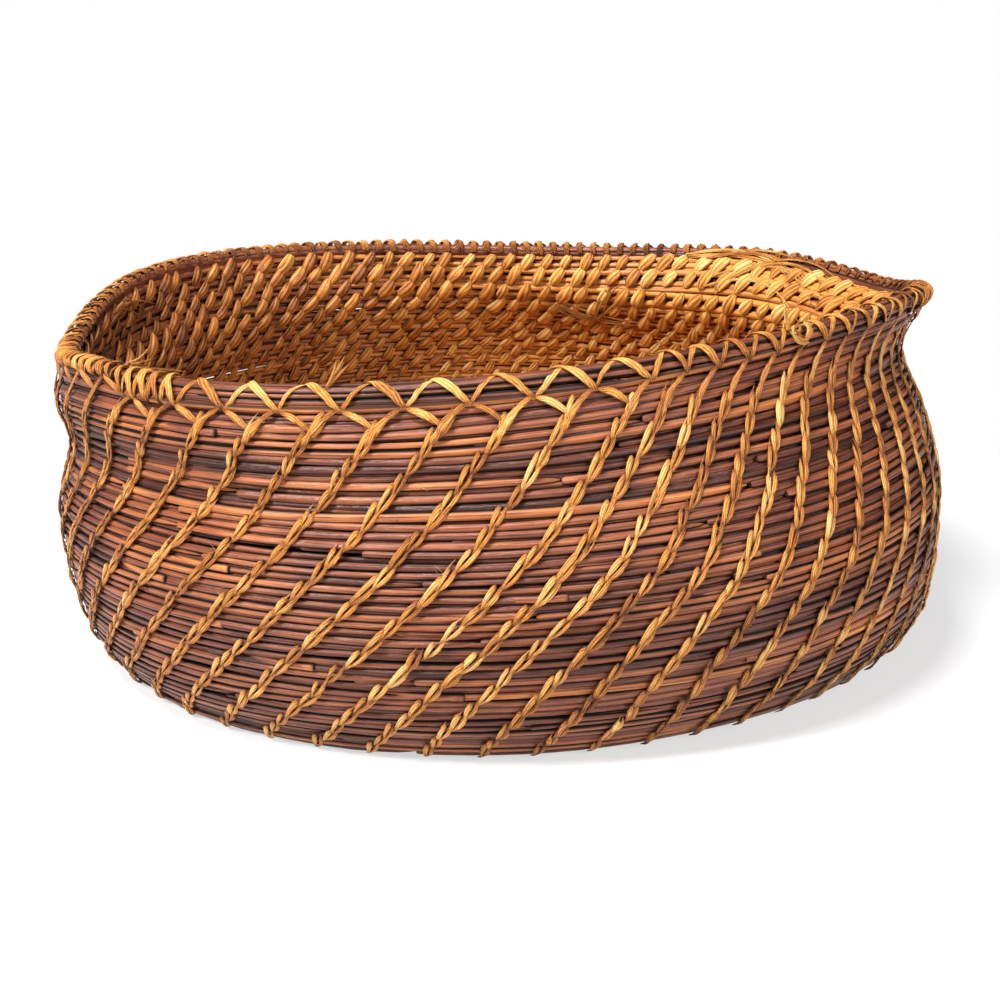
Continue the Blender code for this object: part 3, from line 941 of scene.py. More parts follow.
class DashTree(GeometryTree):
    """Sets one bowed, pointed stitch on every guide point."""

    sides: ClassVar[int] = 6
    foot_share: ClassVar[float] = 0.45
    crown_share: ClassVar[float] = 1.55
    swell_power: ClassVar[float] = 0.45
    tip_share: ClassVar[float] = 0.35

    def __init__(self) -> None:
        """Builds the tree."""
        super().__init__("stitch_dashes", {
            "Length": ("NodeSocketFloat", 4.4 * MM),
            "Width": ("NodeSocketFloat", 2.0 * MM),
            "Bow": ("NodeSocketFloat", 1.3 * MM),
            "Flatness": ("NodeSocketFloat", 0.5),
            "Size Spread": ("NodeSocketFloat", 0.15),
            "Turn Spread": ("NodeSocketFloat", 0.2),
            "Seed": ("NodeSocketInt", 5),
            "Material": ("NodeSocketMaterial", None),
        })
        half = self.given("Length") * 0.5
        bow = self.given("Bow")
        foot = bow * -self.foot_share
        start = self.result("ShaderNodeCombineXYZ", None, {1: half * -1.0, 2: foot})
        crown = self.result("ShaderNodeCombineXYZ", None, {2: bow * self.crown_share})
        end = self.result("ShaderNodeCombineXYZ", None, {1: half, 2: foot})
        line = self.result("GeometryNodeCurveQuadraticBezier", None, {
            "Resolution": self.sides, "Start": start, "Middle": crown, "End": end})
        factor = self.result("GeometryNodeSplineParameter", name="Factor")
        line = self.store(line, Attribute.WAY, self.given("Length") * factor, "FLOAT")
        swell = (factor * math.pi).math("SINE").math("POWER", self.swell_power)
        swell = swell * (1.0 - self.tip_share) + self.tip_share
        dash = self.flatten(line, (0.0, 0.0, 1.0), self.sides, swell * self.given("Width") * 0.5)
        self.close(self.scatter(dash))

    def scatter(self, dash: Wire) -> Wire:
        """Sets the stitch on every guide point, turned and sized a little at random.

        Args:
            dash: the stitch.

        Returns:
            The stitches, as instances.
        """
        turned = self.result("FunctionNodeAxesToRotation", {"primary_axis": "Z", "secondary_axis": "Y"}, {
            "Primary Axis": self.named(Attribute.FACING, "FLOAT_VECTOR"),
            "Secondary Axis": self.named(Attribute.RUN, "FLOAT_VECTOR")})
        spread = self.given("Turn Spread")
        jitter = self.result("FunctionNodeRandomValue", {"data_type": "FLOAT"}, {
            2: spread * -1.0, 3: spread, "Seed": self.given("Seed")}, 1)
        twist = self.result("FunctionNodeAxisAngleToRotation", None, {
            "Axis": (0.0, 0.0, 1.0), "Angle": jitter})
        turned = self.result("FunctionNodeRotateRotation", {"rotation_space": "LOCAL"}, {
            "Rotation": turned, "Rotate By": twist})
        spread = self.given("Size Spread")
        size = self.result("FunctionNodeRandomValue", {"data_type": "FLOAT"}, {
            2: 1.0 - spread, 3: spread + 1.0, "Seed": self.given("Seed") + 1.0}, 1)
        scale = self.vector("SCALE", (1.0, 1.0, 1.0), scale=size * self.named(Attribute.SIZE))
        return self.result("GeometryNodeInstanceOnPoints", None, {
            "Points": self.given("Geometry"), "Instance": dash, "Rotation": turned, "Scale": scale})


@dataclasses.dataclass
class Workshop:
    """The finishes and trees that the pieces share."""

    needles: dict[Slot, bpy.types.Material]
    raffia: dict[Slot, bpy.types.Material]
    sweep: SweepTree
    dashes: DashTree

    @classmethod
    def open(cls) -> "Workshop":
        """Makes the finishes and the trees.

        Returns:
            The workshop.
        """
        needles = {slot: NeedleFinish(slot.value + "_look").dress()
                   for slot in (Slot.BASE_NEEDLES, Slot.WALL_NEEDLES, Slot.RIM_NEEDLES)}
        raffia = {slot: RaffiaFinish(slot.value + "_look").dress()
                  for slot in (Slot.WALL_RAFFIA, Slot.RIM_RAFFIA)}
        return cls(needles, raffia, SweepTree(), DashTree())

    def strands(self, batch: StrandBatch, name: str, slot: Slot, nodes: Iterable[str],
                sides: int, flatness: float) -> bpy.types.Object:
        """Sweeps a batch into a piece, dresses it and puts it on the basket.

        Args:
            batch: the guides.
            name: the piece's name.
            slot: the slot that its finish comes from.
            nodes: the solids that it stands for.
            sides: the number of sides of a strand.
            flatness: a strand's thickness as a share of its width.

        Returns:
            The piece.
        """
        material = {**self.needles, **self.raffia}[slot]
        piece = self.sweep.run(batch.guide(name + "_guide"), name, {
            "Sides": sides, "Flatness": flatness, "Material": material})
        return settle(piece, slot, nodes)

    def stitches(self, batch: "DashBatch", name: str, sizes: dict[str, float]) -> bpy.types.Object:
        """Returns a piece of bowed stitches at a batch's places, with the sizes by the tree's inputs."""
        values = {**sizes, "Material": self.raffia[Slot.WALL_RAFFIA]}
        return settle(self.dashes.run(batch.guide(name + "_guide"), name, values), Slot.WALL_RAFFIA, [])


def settle(piece: bpy.types.Object, slot: Slot, nodes: Iterable[str]) -> bpy.types.Object:
    """Rides a finished piece on the basket, and hides the solids that it stands for.

    Args:
        piece: the finished piece.
        slot: the slot that its finish comes from; not used.
        nodes: the solids, none where it only adds to them.

    Returns:
        The piece.
    """
    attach(piece, BODY)
    names = list(nodes)
    if names:
        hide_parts(*names)
    LOG.info("%s: %d faces", piece.name, len(piece.data.polygons))
    return piece


@dataclasses.dataclass(frozen=True)
class Lane:
    """One needle's place in the bundle: height from the row's middle, depth behind its face, size, and
    painted depth shade.
    """

    rise: float
    depth: float
    radius: float
    painted_depth_shade: float = 0.0
    inner: bool = False
    overlap: float = 0.0


def painted_inside_light(angles: np.ndarray) -> np.ndarray:
    """Returns the painted light on the inside at each angle: paler where light falls at the back right,
    deeper in shade at the left.
    """
    return 0.17 + 0.42 * np.cos(angles - math.radians(52.0))


@dataclasses.dataclass
class NeedleCoil:
    """The needles of the base and the wall, lane by lane along the coil."""

    lanes: tuple[Lane, ...] = (
        Lane(-0.95 * MM, 0.84 * MM, 0.86 * MM),
        Lane(0.95 * MM, 0.84 * MM, 0.86 * MM),
        # Needles set deeper behind the face carry painted depth shade.
        Lane(0.0, 1.40 * MM, 0.66 * MM, 0.08),
        Lane(1.92 * MM, 1.45 * MM, 0.72 * MM, 0.08, overlap=7.0 * MM),
        Lane(0.0, 2.25 * MM, 0.90 * MM, 0.10, overlap=9.0 * MM),
        Lane(-0.95 * MM, 3.20 * MM, 0.84 * MM, inner=True, overlap=5.0 * MM),
        Lane(0.95 * MM, 3.20 * MM, 0.84 * MM, inner=True, overlap=5.0 * MM),
        Lane(1.92 * MM, 2.55 * MM, 0.86 * MM, inner=True, overlap=9.0 * MM),
    )
    spacing: float = 6.0 * MM
    least_length: float = 90.0 * MM
    most_length: float = 230.0 * MM
    butt_places: tuple[float, ...] = (0.0, 0.6 * MM, 2.5 * MM)
    butt_sizes: tuple[float, ...] = (0.72, 0.98, 1.0)
    tip_length: float = 14.0 * MM
    tip_places: tuple[float, ...] = (14.0 * MM, 8.0 * MM, 4.0 * MM, 1.2 * MM, 0.0)
    tip_sizes: tuple[float, ...] = (0.15, 0.45, 0.75, 1.0)
    sway_lengths: tuple[float, float] = (26.0 * MM, 11.0 * MM)
    heave_lengths: tuple[float, float] = (31.0 * MM, 13.0 * MM)
    stray_share: float = 0.16
    stray: float = 0.5 * MM
    dive: float = 0.35 * MM
    dark_share: float = 0.06
    orange_share: float = 0.12
    gap: float = 1.6 * MM
    band_overlap: float = 0.045
    wobble: float = 0.24 * MM
    roll: float = 0.35
    most_stretch: float = 1.3
    base_bands: tuple[int, ...] = (-21, -9, 0)
    wall_bands: tuple[int, ...] = (0, 6, 12, 17, 22)
    seed: int = 11

    def tint(self, rng: np.random.Generator, lane: Lane) -> float:
        """Draws a needle's shade: most are plum brown, some orange and some nearly black.

        Args:
            rng: the random source.
            lane: the needle's place, deeper ones getting painted shade.

        Returns:
            The shade.
        """
        kind = rng.random()
        # Each kind is lowered by its lane's painted depth shade.
        if kind < self.dark_share:
            return 0.20 + 0.10 * rng.random() - lane.painted_depth_shade
        if kind > 1 - self.orange_share:
            return 0.64 + 0.14 * rng.random() - lane.painted_depth_shade
        return 0.37 + 0.25 * rng.random() - lane.painted_depth_shade

    @staticmethod
    def waver(along: np.ndarray, lengths: tuple[float, float], phase: np.ndarray) -> np.ndarray:
        """Returns an uneven wave along a needle."""
        return np.sin(along / lengths[0] + phase[0]) + 0.7 * np.sin(along / lengths[1] + phase[1])

    def needle(self, batch: StrandBatch, lane: Lane, first: float, last: float, length: float,
               rng: np.random.Generator) -> None:
        """Adds one needle.

        Args:
            batch: the guides that it adds to.
            lane: its place in the bundle.
            first: the turn that its blunt end is at.
            last: the turn that its tip is at.
            length: its length.
            rng: the random source.
        """
        count = max(int((length - self.tip_length) / self.spacing), 3)
        body = np.linspace(5.0 * MM, length - self.tip_length, count, endpoint=False)
        along = np.concatenate([self.butt_places, body, length - np.array(self.tip_places)])
        turns = first + (last - first) * along / length
        middle, side, across, stretch = PLAN.lines(turns)
        phase = rng.random(4) * FULL_TURN
        sway = self.waver(along, self.sway_lengths, phase[:2])
        heave = self.waver(along, self.heave_lengths, phase[2:])
        rise = (lane.rise + self.wobble * (0.75 * sway + rng.normal() * 0.6)) * stretch
        depth = lane.depth + self.wobble * (0.55 * heave + rng.normal() * 0.5)
        stray = self.stray * (rng.random() < self.stray_share) * np.exp(-along / (7.0 * MM))
        dive = self.dive * np.exp(-(length - along) / (6.0 * MM))
        depth = depth - stray + dive
        size = lane.radius * (0.80 + 0.34 * rng.random())
        taper = np.interp(length - along, [0.0, 1.2 * MM, 4.0 * MM, self.tip_length], self.tip_sizes)
        blunt = np.interp(along, self.butt_places, self.butt_sizes)
        radii = size * taper * blunt * np.minimum(stretch, self.most_stretch)
        points = middle + across * rise[:, None] + side * (PLAN.depth / 2 - depth)[:, None]
        roll = self.roll * (2.0 * rng.random() - 1.0)
        facing = side * math.cos(roll) + across * math.sin(roll)
        # Inner needles are paled by the painted inside light.
        tints = self.tint(rng, lane) + (painted_inside_light(PLAN.angle(turns)) if lane.inner else 0.0)
        batch.add(points, radii, facing, tints)

    def lay(self, first_turn: float, last_turn: float, batch: StrandBatch, rng: np.random.Generator) -> None:
        """Lays needles end to end in every lane.

        Args:
            first_turn: the turn to start from.
            last_turn: the turn to stop at.
            batch: the guides that it adds to.
            rng: the random source.
        """
        for lane in self.lanes:
            turn = first_turn
            while turn < last_turn:
                middle = PLAN.lines(np.array([turn]))[0][0]
                round_length = FULL_TURN * max(math.hypot(middle[0], middle[1]), 4.0 * MM)
                length = self.least_length + (self.most_length - self.least_length) * rng.random()
                if turn == first_turn:
                    length *= 0.3 + 0.7 * rng.random()
                length = min(length, round_length * 0.8)
                end = min(turn + length / round_length, last_turn + self.band_overlap)
                length = (end - turn) * round_length
                if length > 2 * self.tip_length:
                    self.needle(batch, lane, turn, end, length, rng)
                onward = length - lane.overlap + self.gap * (rng.random() - 0.35)
                turn += max(onward, length / 2) / round_length

    def build(self, shop: Workshop) -> None:
        """Makes the needles of the base and the wall.

        Args:
            shop: the finishes and trees that make the piece.
        """
        for part, slot, node, seed, sides in (
                ("base", Slot.BASE_NEEDLES, "base_coil", self.seed, 6),
                ("wall", Slot.WALL_NEEDLES, "wall_coil", self.seed + 10, 8)):
            bands = self.base_bands if part == "base" else self.wall_bands
            for number, (first, last) in enumerate(zip(bands, bands[1:]), start=1):
                batch = StrandBatch()
                self.lay(first, last, batch, np.random.default_rng(seed + number))
                nodes = [node] if number == 1 else []
                shop.strands(batch, f"{part}_needles_{number}", slot, nodes, sides, 0.86)


@dataclasses.dataclass
class RimRow:
    """The needles of the rim row, level on top, fewer where the row below has climbed."""

    columns: tuple[float, ...] = (0.80 * MM, 2.15 * MM, 3.30 * MM)
    layer_step: float = 1.40 * MM
    layers: int = 4
    radius: float = 0.86 * MM
    inset: float = 0.76 * MM
    least_half: float = 0.9 * MM
    mean_radius: float = 105.0 * MM
    least_length: float = 120.0 * MM
    length_spread: float = 140.0 * MM
    crown_middle: float = 2.05 * MM
    crown_width: float = 1.3 * MM
    crown_drop: float = 0.35 * MM
    end_turn: float = 0.985
    seed: int = 40

    def thickness(self, turns: np.ndarray) -> np.ndarray:
        """Returns the rim row's height after a share of its turn."""
        return PLAN.level_arc - (PLAN.start_arc + PLAN.pitch * (PLAN.wall_rows - 0.5 + turns))

    def height_share(self, layer: int, turns: np.ndarray) -> np.ndarray:
        """Works out how far down the row a layer lies.

        Args:
            layer: the layer, counted from the top.
            turns: shares of the row's turn.

        Returns:
            Its place at each share, 0 for the top layer and 1 for the bottom one.
        """
        if layer == self.layers - 1:
            return np.ones(len(turns))
        steps = (self.thickness(turns) - 2 * self.inset) / self.layer_step
        whole = np.maximum(np.floor(steps), 0.0)
        part = np.clip((steps - whole - 0.35) / 0.3, 0.0, 1.0)
        count = np.maximum(whole + part * part * (3 - 2 * part), 1.0)
        return np.minimum(layer / count, 1.0)

    def section(self, turns: np.ndarray) -> Frames:
        """Works out where the rim row runs.

        Args:
            turns: shares of the row's turn.

        Returns:
            The row's middle, its directions outward and up, and half its height.
        """
        half = np.maximum(self.thickness(turns) / 2, self.least_half)
        arcs = PLAN.level_arc - half
        skin, outward, up, _ = SKIN.frames(PLAN.angle(turns), arcs)
        middle = skin - outward * (PLAN.stitch_room + PLAN.depth / 2)
        return middle, outward, up, half

    def build(self, shop: Workshop) -> None:
        """Makes the rim row's needles.

        Args:
            shop: the finishes and trees that make the piece.
        """
        rng = np.random.default_rng(self.seed)
        coil = NeedleCoil()
        batch = StrandBatch()
        turns = np.linspace(0.0, 1.0, 400)
        for layer in range(self.layers):
            for depth in self.columns:
                fits = turns[self.height_share(layer, turns) < 0.93] if 0 < layer < self.layers - 1 else turns
                last = min(float(fits.max()) if len(fits) else 0.0, self.end_turn)
                turn = 0.004 * rng.random()
                while turn < last - 0.02:
                    length = self.least_length + self.length_spread * rng.random()
                    end = min(turn + length / (FULL_TURN * self.mean_radius), last)
                    self.needle(batch, coil, layer, depth, turn, end, rng)
                    turn = end + 0.002 * (rng.random() - 0.5)
        shop.strands(batch, "rim_needles", Slot.RIM_NEEDLES, ["rim_coil"], 8, 0.86)

    def needle(self, batch: StrandBatch, coil: NeedleCoil, layer: int, depth: float, first: float,
               last: float, rng: np.random.Generator) -> None:
        """Adds one needle of a layer.

        Args:
            batch: the guides that it adds to.
            coil: the coil that the needle's shade follows.
            layer: its layer.
            depth: how far behind the stitches it lies.
            first: the share of the turn that it starts at.
            last: the share that it ends at.
            rng: the random source.
        """
        length = (last - first) * FULL_TURN * self.mean_radius
        along = np.linspace(0.0, length, max(int(length / (5.0 * MM)), 4))
        turns = first + (last - first) * along / length
        outer = abs(depth - self.crown_middle) / self.crown_width
        room = np.maximum(self.thickness(turns) - 2 * self.inset, 0.0)
        drop = self.inset + self.height_share(layer, turns) * room
        drop = drop + (self.crown_drop * outer * outer if layer == 0 else 0.0)
        phase = rng.random(2) * FULL_TURN
        drop = drop + 0.14 * MM * (np.sin(along / (24.0 * MM) + phase[0]) + rng.normal() * 0.4)
        arcs = PLAN.level_arc - drop
        skin, outward, up, _ = SKIN.frames(PLAN.angle(turns), arcs)
        deep = PLAN.stitch_room + depth + 0.12 * MM * np.sin(along / (19.0 * MM) + phase[1])
        taper = np.interp(length - along, [0.0, 3.0 * MM, 12.0 * MM], [0.25, 0.7, 1.0])
        radii = self.radius * (0.9 + 0.22 * rng.random()) * taper
        points = skin - outward * deep[:, None]
        middle, _, _, _ = self.section(turns)
        facing = unit(points - middle + up * 0.1 * MM)
        batch.add(points, radii, facing, coil.tint(rng, Lane(0.0, 0.0, 0.0)))


@dataclasses.dataclass(frozen=True)
class Chain:
    """One leaning chain: its angles under the rim and at the foot, and the share of lean it gains."""

    top: float
    foot: float
    gain: float
    top_share: float = 0.95

    def angle_at(self, arcs: np.ndarray) -> np.ndarray:
        """Returns the chain's angle at lengths up the wall."""
        down = 1 - SKIN.share_at(arcs) / self.top_share
        return self.top - (self.top - self.foot) * down * (1 - self.gain + self.gain * down)

    def place_at(self, arc: float) -> float:
        """Returns the chain's angle at one length up the wall."""
        return float(self.angle_at(np.array([arc]))[0])

    def lean_at(self, arc: float) -> float:
        """Works out the chain's slope on the wall.

        Args:
            arc: a length up the wall.

        Returns:
            Its lean from upright there.
        """
        step = 2.0 * MM
        angles = self.angle_at(np.array([arc - step, arc + step]))
        return math.atan2((angles[1] - angles[0]) * StitchChains.mean_radius, 2 * step)

    def toward(self, other: "Chain", share: float) -> "Chain":
        """Returns a chain between this one and another."""
        return Chain(self.top + (other.top - self.top) * share, self.foot + (other.foot - self.foot) * share,
                     self.gain + (other.gain - self.gain) * share)


@dataclasses.dataclass
class StitchChains:
    """The leaning chains of fork-shaped raffia stitches on the outside of the wall."""

    zones: tuple[tuple[float, int, float], ...] = (
        (217.8, 10, 0.4), (288.4, 12, 0.2), (343.0, 32, -0.5), (577.8, 0, 0.4))
    foot_angle: float = math.radians(177.7)
    links: int = 22
    first_arc: float = 0.6 * MM
    face_depth: float = 1.15 * MM
    wander: float = math.radians(0.25)
    long_share: float = 0.28
    split_share: float = 0.6
    mean_shade: float = 0.50
    low_end: float = 0.2 * MM
    top_room: float = 10.5 * MM
    seed: int = 70
    mean_radius: ClassVar[float] = 109.0 * MM

    def all(self) -> list[Chain]:
        """Sets out the chains zone by zone.

        Returns:
            Every chain, counter-clockwise.
        """
        count = sum(number for _, number, _ in self.zones)
        found: list[Chain] = []
        for (first, number, gain), (following, _, next_gain) in zip(self.zones, self.zones[1:]):
            for i in range(number):
                top = math.radians(first + (following - first) * i / number)
                foot = self.foot_angle + FULL_TURN * len(found) / count
                found.append(Chain(top, foot, gain + (next_gain - gain) * i / number))
        return found

    def pairs(self) -> list[tuple[Chain, Chain]]:
        """Pairs the chains round the basket.

        Returns:
            Every chain with the one that follows it.
        """
        found = self.all()
        again = Chain(found[0].top + FULL_TURN, found[0].foot + FULL_TURN, found[0].gain)
        return list(zip(found, found[1:] + [again]))

    def on_skin(self, angle: float, arc: float, lean: float, across: np.ndarray, onward: np.ndarray,
                height: np.ndarray) -> tuple[np.ndarray, np.ndarray]:
        """Returns points laid on the needles round a place, with the directions outward.

        Args:
            angle: the place's angle.
            arc: the place's length up the wall.
            lean: how far the line leans from upright, to the right.
            across: offsets to the right of the line.
            onward: offsets along the line.
            height: heights over the needles.

        Returns:
            The points and the outward directions.
        """
        rise = onward * math.cos(lean) - across * math.sin(lean)
        shift = onward * math.sin(lean) + across * math.cos(lean)
        arcs = np.clip(arc + rise, 0.0, None)
        skin, outward, _, _ = SKIN.frames(angle + shift / self.mean_radius, arcs)
        return skin - outward * (self.face_depth - height)[:, None], outward

    def prong(self, batch: StrandBatch, place: tuple[float, float, float], shape: "Prong", size: float,
              tint: float, rng: np.random.Generator) -> None:
        """Adds one prong of a stitch.

        Args:
            batch: the guides.
            place: the stitch's angle, its length up the wall and its lean.
            shape: the prong's course and widths.
            size: the row's height, which the prong's length follows.
            tint: its shade.
            rng: the random source.
        """
        steps = np.array(shape.steps)
        onward = steps * size * (1 + 0.09 * rng.normal())
        across = np.array(shape.across) * MM + 0.10 * MM * rng.normal() * np.clip(steps, 0.0, 1.0)
        height = np.array(shape.height) * MM * (0.50 + 0.3 * rng.random())
        widths = np.array(shape.widths) * MM / 2 * (0.82 + 0.38 * rng.random())
        points, outward = self.on_skin(*place, across, onward, height)
        tilt = np.linspace(*shape.tilt, len(steps)) + 0.25 * rng.normal()
        batch.add(points, widths, tilted(outward, points, tilt), tint + np.array(shape.shades))

    def link(self, batch: StrandBatch, chain: Chain, arc: float, shade: float,
             rng: np.random.Generator) -> None:
        """Adds one stitch of a chain: a left prong, a right one that runs on under the next stitch,
        and on some a fibre that has split off.

        Args:
            batch: the guides that it adds to.
            chain: the chain.
            arc: the stitch's length up the wall.
            shade: the chain's mean shade.
            rng: the random source.
        """
        angle = chain.place_at(arc) + self.wander * rng.normal() * 0.5
        lean = chain.lean_at(arc) + 0.05 * rng.normal()
        size = PLAN.pitch / math.cos(lean)
        tint = float(np.clip(shade + 0.09 * rng.normal(), 0.2, 0.9))
        place = (angle, arc, lean)
        left = LONG_LEFT if rng.random() < self.long_share else LEFT_PRONG
        self.prong(batch, place, RIGHT_PRONG, size, tint - 0.06, rng)
        self.prong(batch, place, left, size, tint + 0.10 * rng.random(), rng)
        if rng.random() < self.split_share:
            fibre = RIGHT_FIBRE if rng.random() < 0.5 else LEFT_FIBRE
            self.prong(batch, place, fibre, size, tint + 0.14, rng)

    def build(self, shop: Workshop) -> None:
        """Makes every chain, a sixth of the basket in each piece.

        Args:
            shop: the finishes and trees that make the piece.
        """
        found = self.all()
        names = [f"stitch_rib_{number:02d}" for number in range(1, len(found) + 1)]
        for part, group in enumerate(np.array_split(np.arange(len(found)), 6), start=1):
            batch = StrandBatch()
            for index in group:
                rng = np.random.default_rng(self.seed + int(index))
                chain = found[index]
                shade = self.mean_shade + 0.06 * rng.normal()
                for number in range(self.links + 1):
                    arc = self.first_arc + PLAN.pitch * number
                    part_turn = PLAN.part_at(chain.place_at(arc))
                    arc = PLAN.start_arc + PLAN.pitch * (number - 1 + part_turn)
                    if self.low_end < arc < PLAN.level_arc - self.top_room:
                        self.link(batch, chain, arc + 0.15 * MM * rng.normal(), shade, rng)
            nodes = [names[index] for index in group]
            shop.strands(batch, f"stitch_chains_{part}", Slot.WALL_RAFFIA, nodes, 6, 0.46)


@dataclasses.dataclass(frozen=True)
class Prong:
    """A prong's course: places along the row's height, offsets, heights and widths in mm, and shades, darker
    toward its ends as painted shade where it tucks under.
    """

    steps: tuple[float, ...]
    across: tuple[float, ...]
    height: tuple[float, ...]
    widths: tuple[float, ...]
    shades: tuple[float, ...]
    tilt: tuple[float, float]


# Painted shade: the prongs' shades run darker toward the ends, where each tucks under the stitches beside it.
RIGHT_PRONG = Prong(
    steps=(-0.35, -0.12, 0.12, 0.40, 0.70, 0.98, 1.22, 1.42),
    across=(-0.20, 0.04, 0.36, 0.60, 0.58, 0.32, 0.06, -0.14),
    height=(-0.25, 0.12, 0.42, 0.60, 0.62, 0.48, 0.20, -0.20),
    widths=(0.30, 0.56, 0.82, 1.02, 1.06, 0.92, 0.66, 0.30),
    shades=(-0.35, -0.20, -0.04, 0.08, 0.08, -0.02, -0.16, -0.32),
    tilt=(-0.9, 0.9),
)
LEFT_PRONG = Prong(
    steps=(-0.30, -0.08, 0.14, 0.38, 0.62, 0.82, 0.95, 1.02),
    across=(0.22, 0.04, -0.26, -0.54, -0.76, -0.88, -0.94, -0.96),
    height=(-0.20, 0.26, 0.60, 0.74, 0.74, 0.62, 0.50, 0.38),
    widths=(0.30, 0.60, 0.84, 1.04, 1.18, 1.16, 0.86, 0.30),
    shades=(-0.30, -0.16, 0.0, 0.10, 0.10, 0.02, -0.10, -0.35),
    tilt=(0.9, -0.5),
)
LONG_LEFT = Prong(
    steps=(-0.30, -0.06, 0.22, 0.54, 0.86, 1.12, 1.28, 1.36),
    across=(0.22, 0.02, -0.32, -0.64, -0.90, -1.06, -1.14, -1.18),
    height=(-0.20, 0.26, 0.62, 0.80, 0.84, 0.80, 0.74, 0.58),
    widths=(0.30, 0.64, 0.90, 1.10, 1.24, 1.22, 0.92, 0.30),
    shades=(-0.30, -0.14, 0.02, 0.12, 0.12, 0.06, -0.08, -0.35),
    tilt=(0.9, -0.3),
)
RIGHT_FIBRE = Prong(
    steps=(-0.20, 0.05, 0.30, 0.60, 0.90, 1.15, 1.35),
    across=(0.10, 0.40, 0.72, 0.84, 0.68, 0.34, -0.05),
    height=(0.05, 0.45, 0.66, 0.70, 0.62, 0.40, 0.05),
    widths=(0.25, 0.38, 0.42, 0.42, 0.38, 0.32, 0.20),
    shades=(-0.25, -0.05, 0.05, 0.10, 0.05, -0.05, -0.25),
    tilt=(-0.5, 0.5),
)
LEFT_FIBRE = Prong(
    steps=(-0.25, 0.0, 0.25, 0.55, 0.85, 1.10, 1.28),
    across=(0.05, -0.30, -0.66, -0.98, -1.14, -1.14, -1.08),
    height=(0.05, 0.55, 0.78, 0.80, 0.72, 0.60, 0.45),
    widths=(0.25, 0.38, 0.45, 0.42, 0.36, 0.28, 0.16),
    shades=(-0.25, -0.05, 0.05, 0.10, 0.05, -0.05, -0.25),
    tilt=(0.5, -0.3),
)


class DashBatch:
    """Places for the bowed stitches that one instancing tree sets out."""

    def __init__(self) -> None:
        """Starts with no places."""
        self.rows: list[tuple[np.ndarray, np.ndarray, np.ndarray, float, float]] = []

    def add(self, point: np.ndarray, facing: np.ndarray, run: np.ndarray, size: float, tint: float) -> None:
        """Adds a place with the directions that the stitch faces and runs, its size and its shade."""
        self.rows.append((point, facing, run, size, tint))

    def guide(self, name: str) -> bpy.types.Object:
        """Makes the places one mesh of loose points with the stitches' values.

        Args:
            name: the mesh's name.

        Returns:
            The object that carries the mesh.
        """
        mesh = bpy.data.meshes.new(name)
        columns = list(zip(*self.rows))
        mesh.from_pydata(np.array(columns[0]).tolist(), [], [])
        names = (Attribute.FACING, Attribute.RUN, Attribute.SIZE, Attribute.TINT)
        carry(mesh, {which: np.array(column) for which, column in zip(names, columns[1:])})
        return set_down(name, mesh)


@dataclasses.dataclass
class InnerStitches:
    """The slanted stitches on the inside of the wall, two for each stitch outside."""

    lean: float = math.radians(40.0)
    stand: float = 0.10 * MM
    places: tuple[float, float] = (0.22, 0.72)
    tight_gap: float = math.radians(5.5)
    seed: int = 130

    def build(self, shop: Workshop, chains: StitchChains) -> None:
        """Makes the dashes in three pieces.

        Args:
            shop: the finishes and trees that make the piece.
            chains: the chains outside, which it follows.
        """
        rng = np.random.default_rng(self.seed)
        for part in range(3):
            batch = DashBatch()
            for row in range(part * 8, min(part * 8 + 8, PLAN.wall_rows)):
                for chain, after in chains.pairs():
                    tight = after.top - chain.top <= self.tight_gap
                    for half in self.places[:1 + row % 2] if tight else self.places:
                        self.dash(batch, chain.toward(after, half), row, rng)
            shop.stitches(batch, f"inner_stitches_{part + 1}", {
                "Length": 6.3 * MM, "Width": 3.4 * MM, "Bow": 0.85 * MM, "Flatness": 0.27})

    def dash(self, batch: DashBatch, chain: Chain, row: int, rng: np.random.Generator) -> None:
        """Adds one dash in the middle of its row.

        Args:
            batch: the places that it adds to.
            chain: the line that the dash lies on.
            row: the row, counted from the foot.
            rng: the random source.
        """
        arc = PLAN.start_arc + PLAN.pitch * (row + 0.5)
        angle = chain.angle_at(np.array([arc]))
        arc += PLAN.pitch * (float(PLAN.part_turn(angle)[0]) - 0.5)
        if arc < 1.0 * MM:
            return
        angle = chain.angle_at(np.array([arc])) + 0.006 * rng.normal()
        depth = PLAN.stitch_room + PLAN.depth + self.stand
        skin, outward, up, along = SKIN.frames(angle, np.array([arc]))
        point = skin[0] - outward[0] * depth
        run = up[0] * math.cos(self.lean) - along[0] * math.sin(self.lean)
        size = min(float(SKIN.stretch(angle, np.array([arc]), depth)[0]), 1.15)
        # Inside stitches are paled by the painted inside light.
        tint = 0.30 + 0.08 * rng.normal() + 0.60 * float(painted_inside_light(angle)[0])
        batch.add(point, -outward[0], run, size, float(np.clip(tint, 0.1, 0.80)))


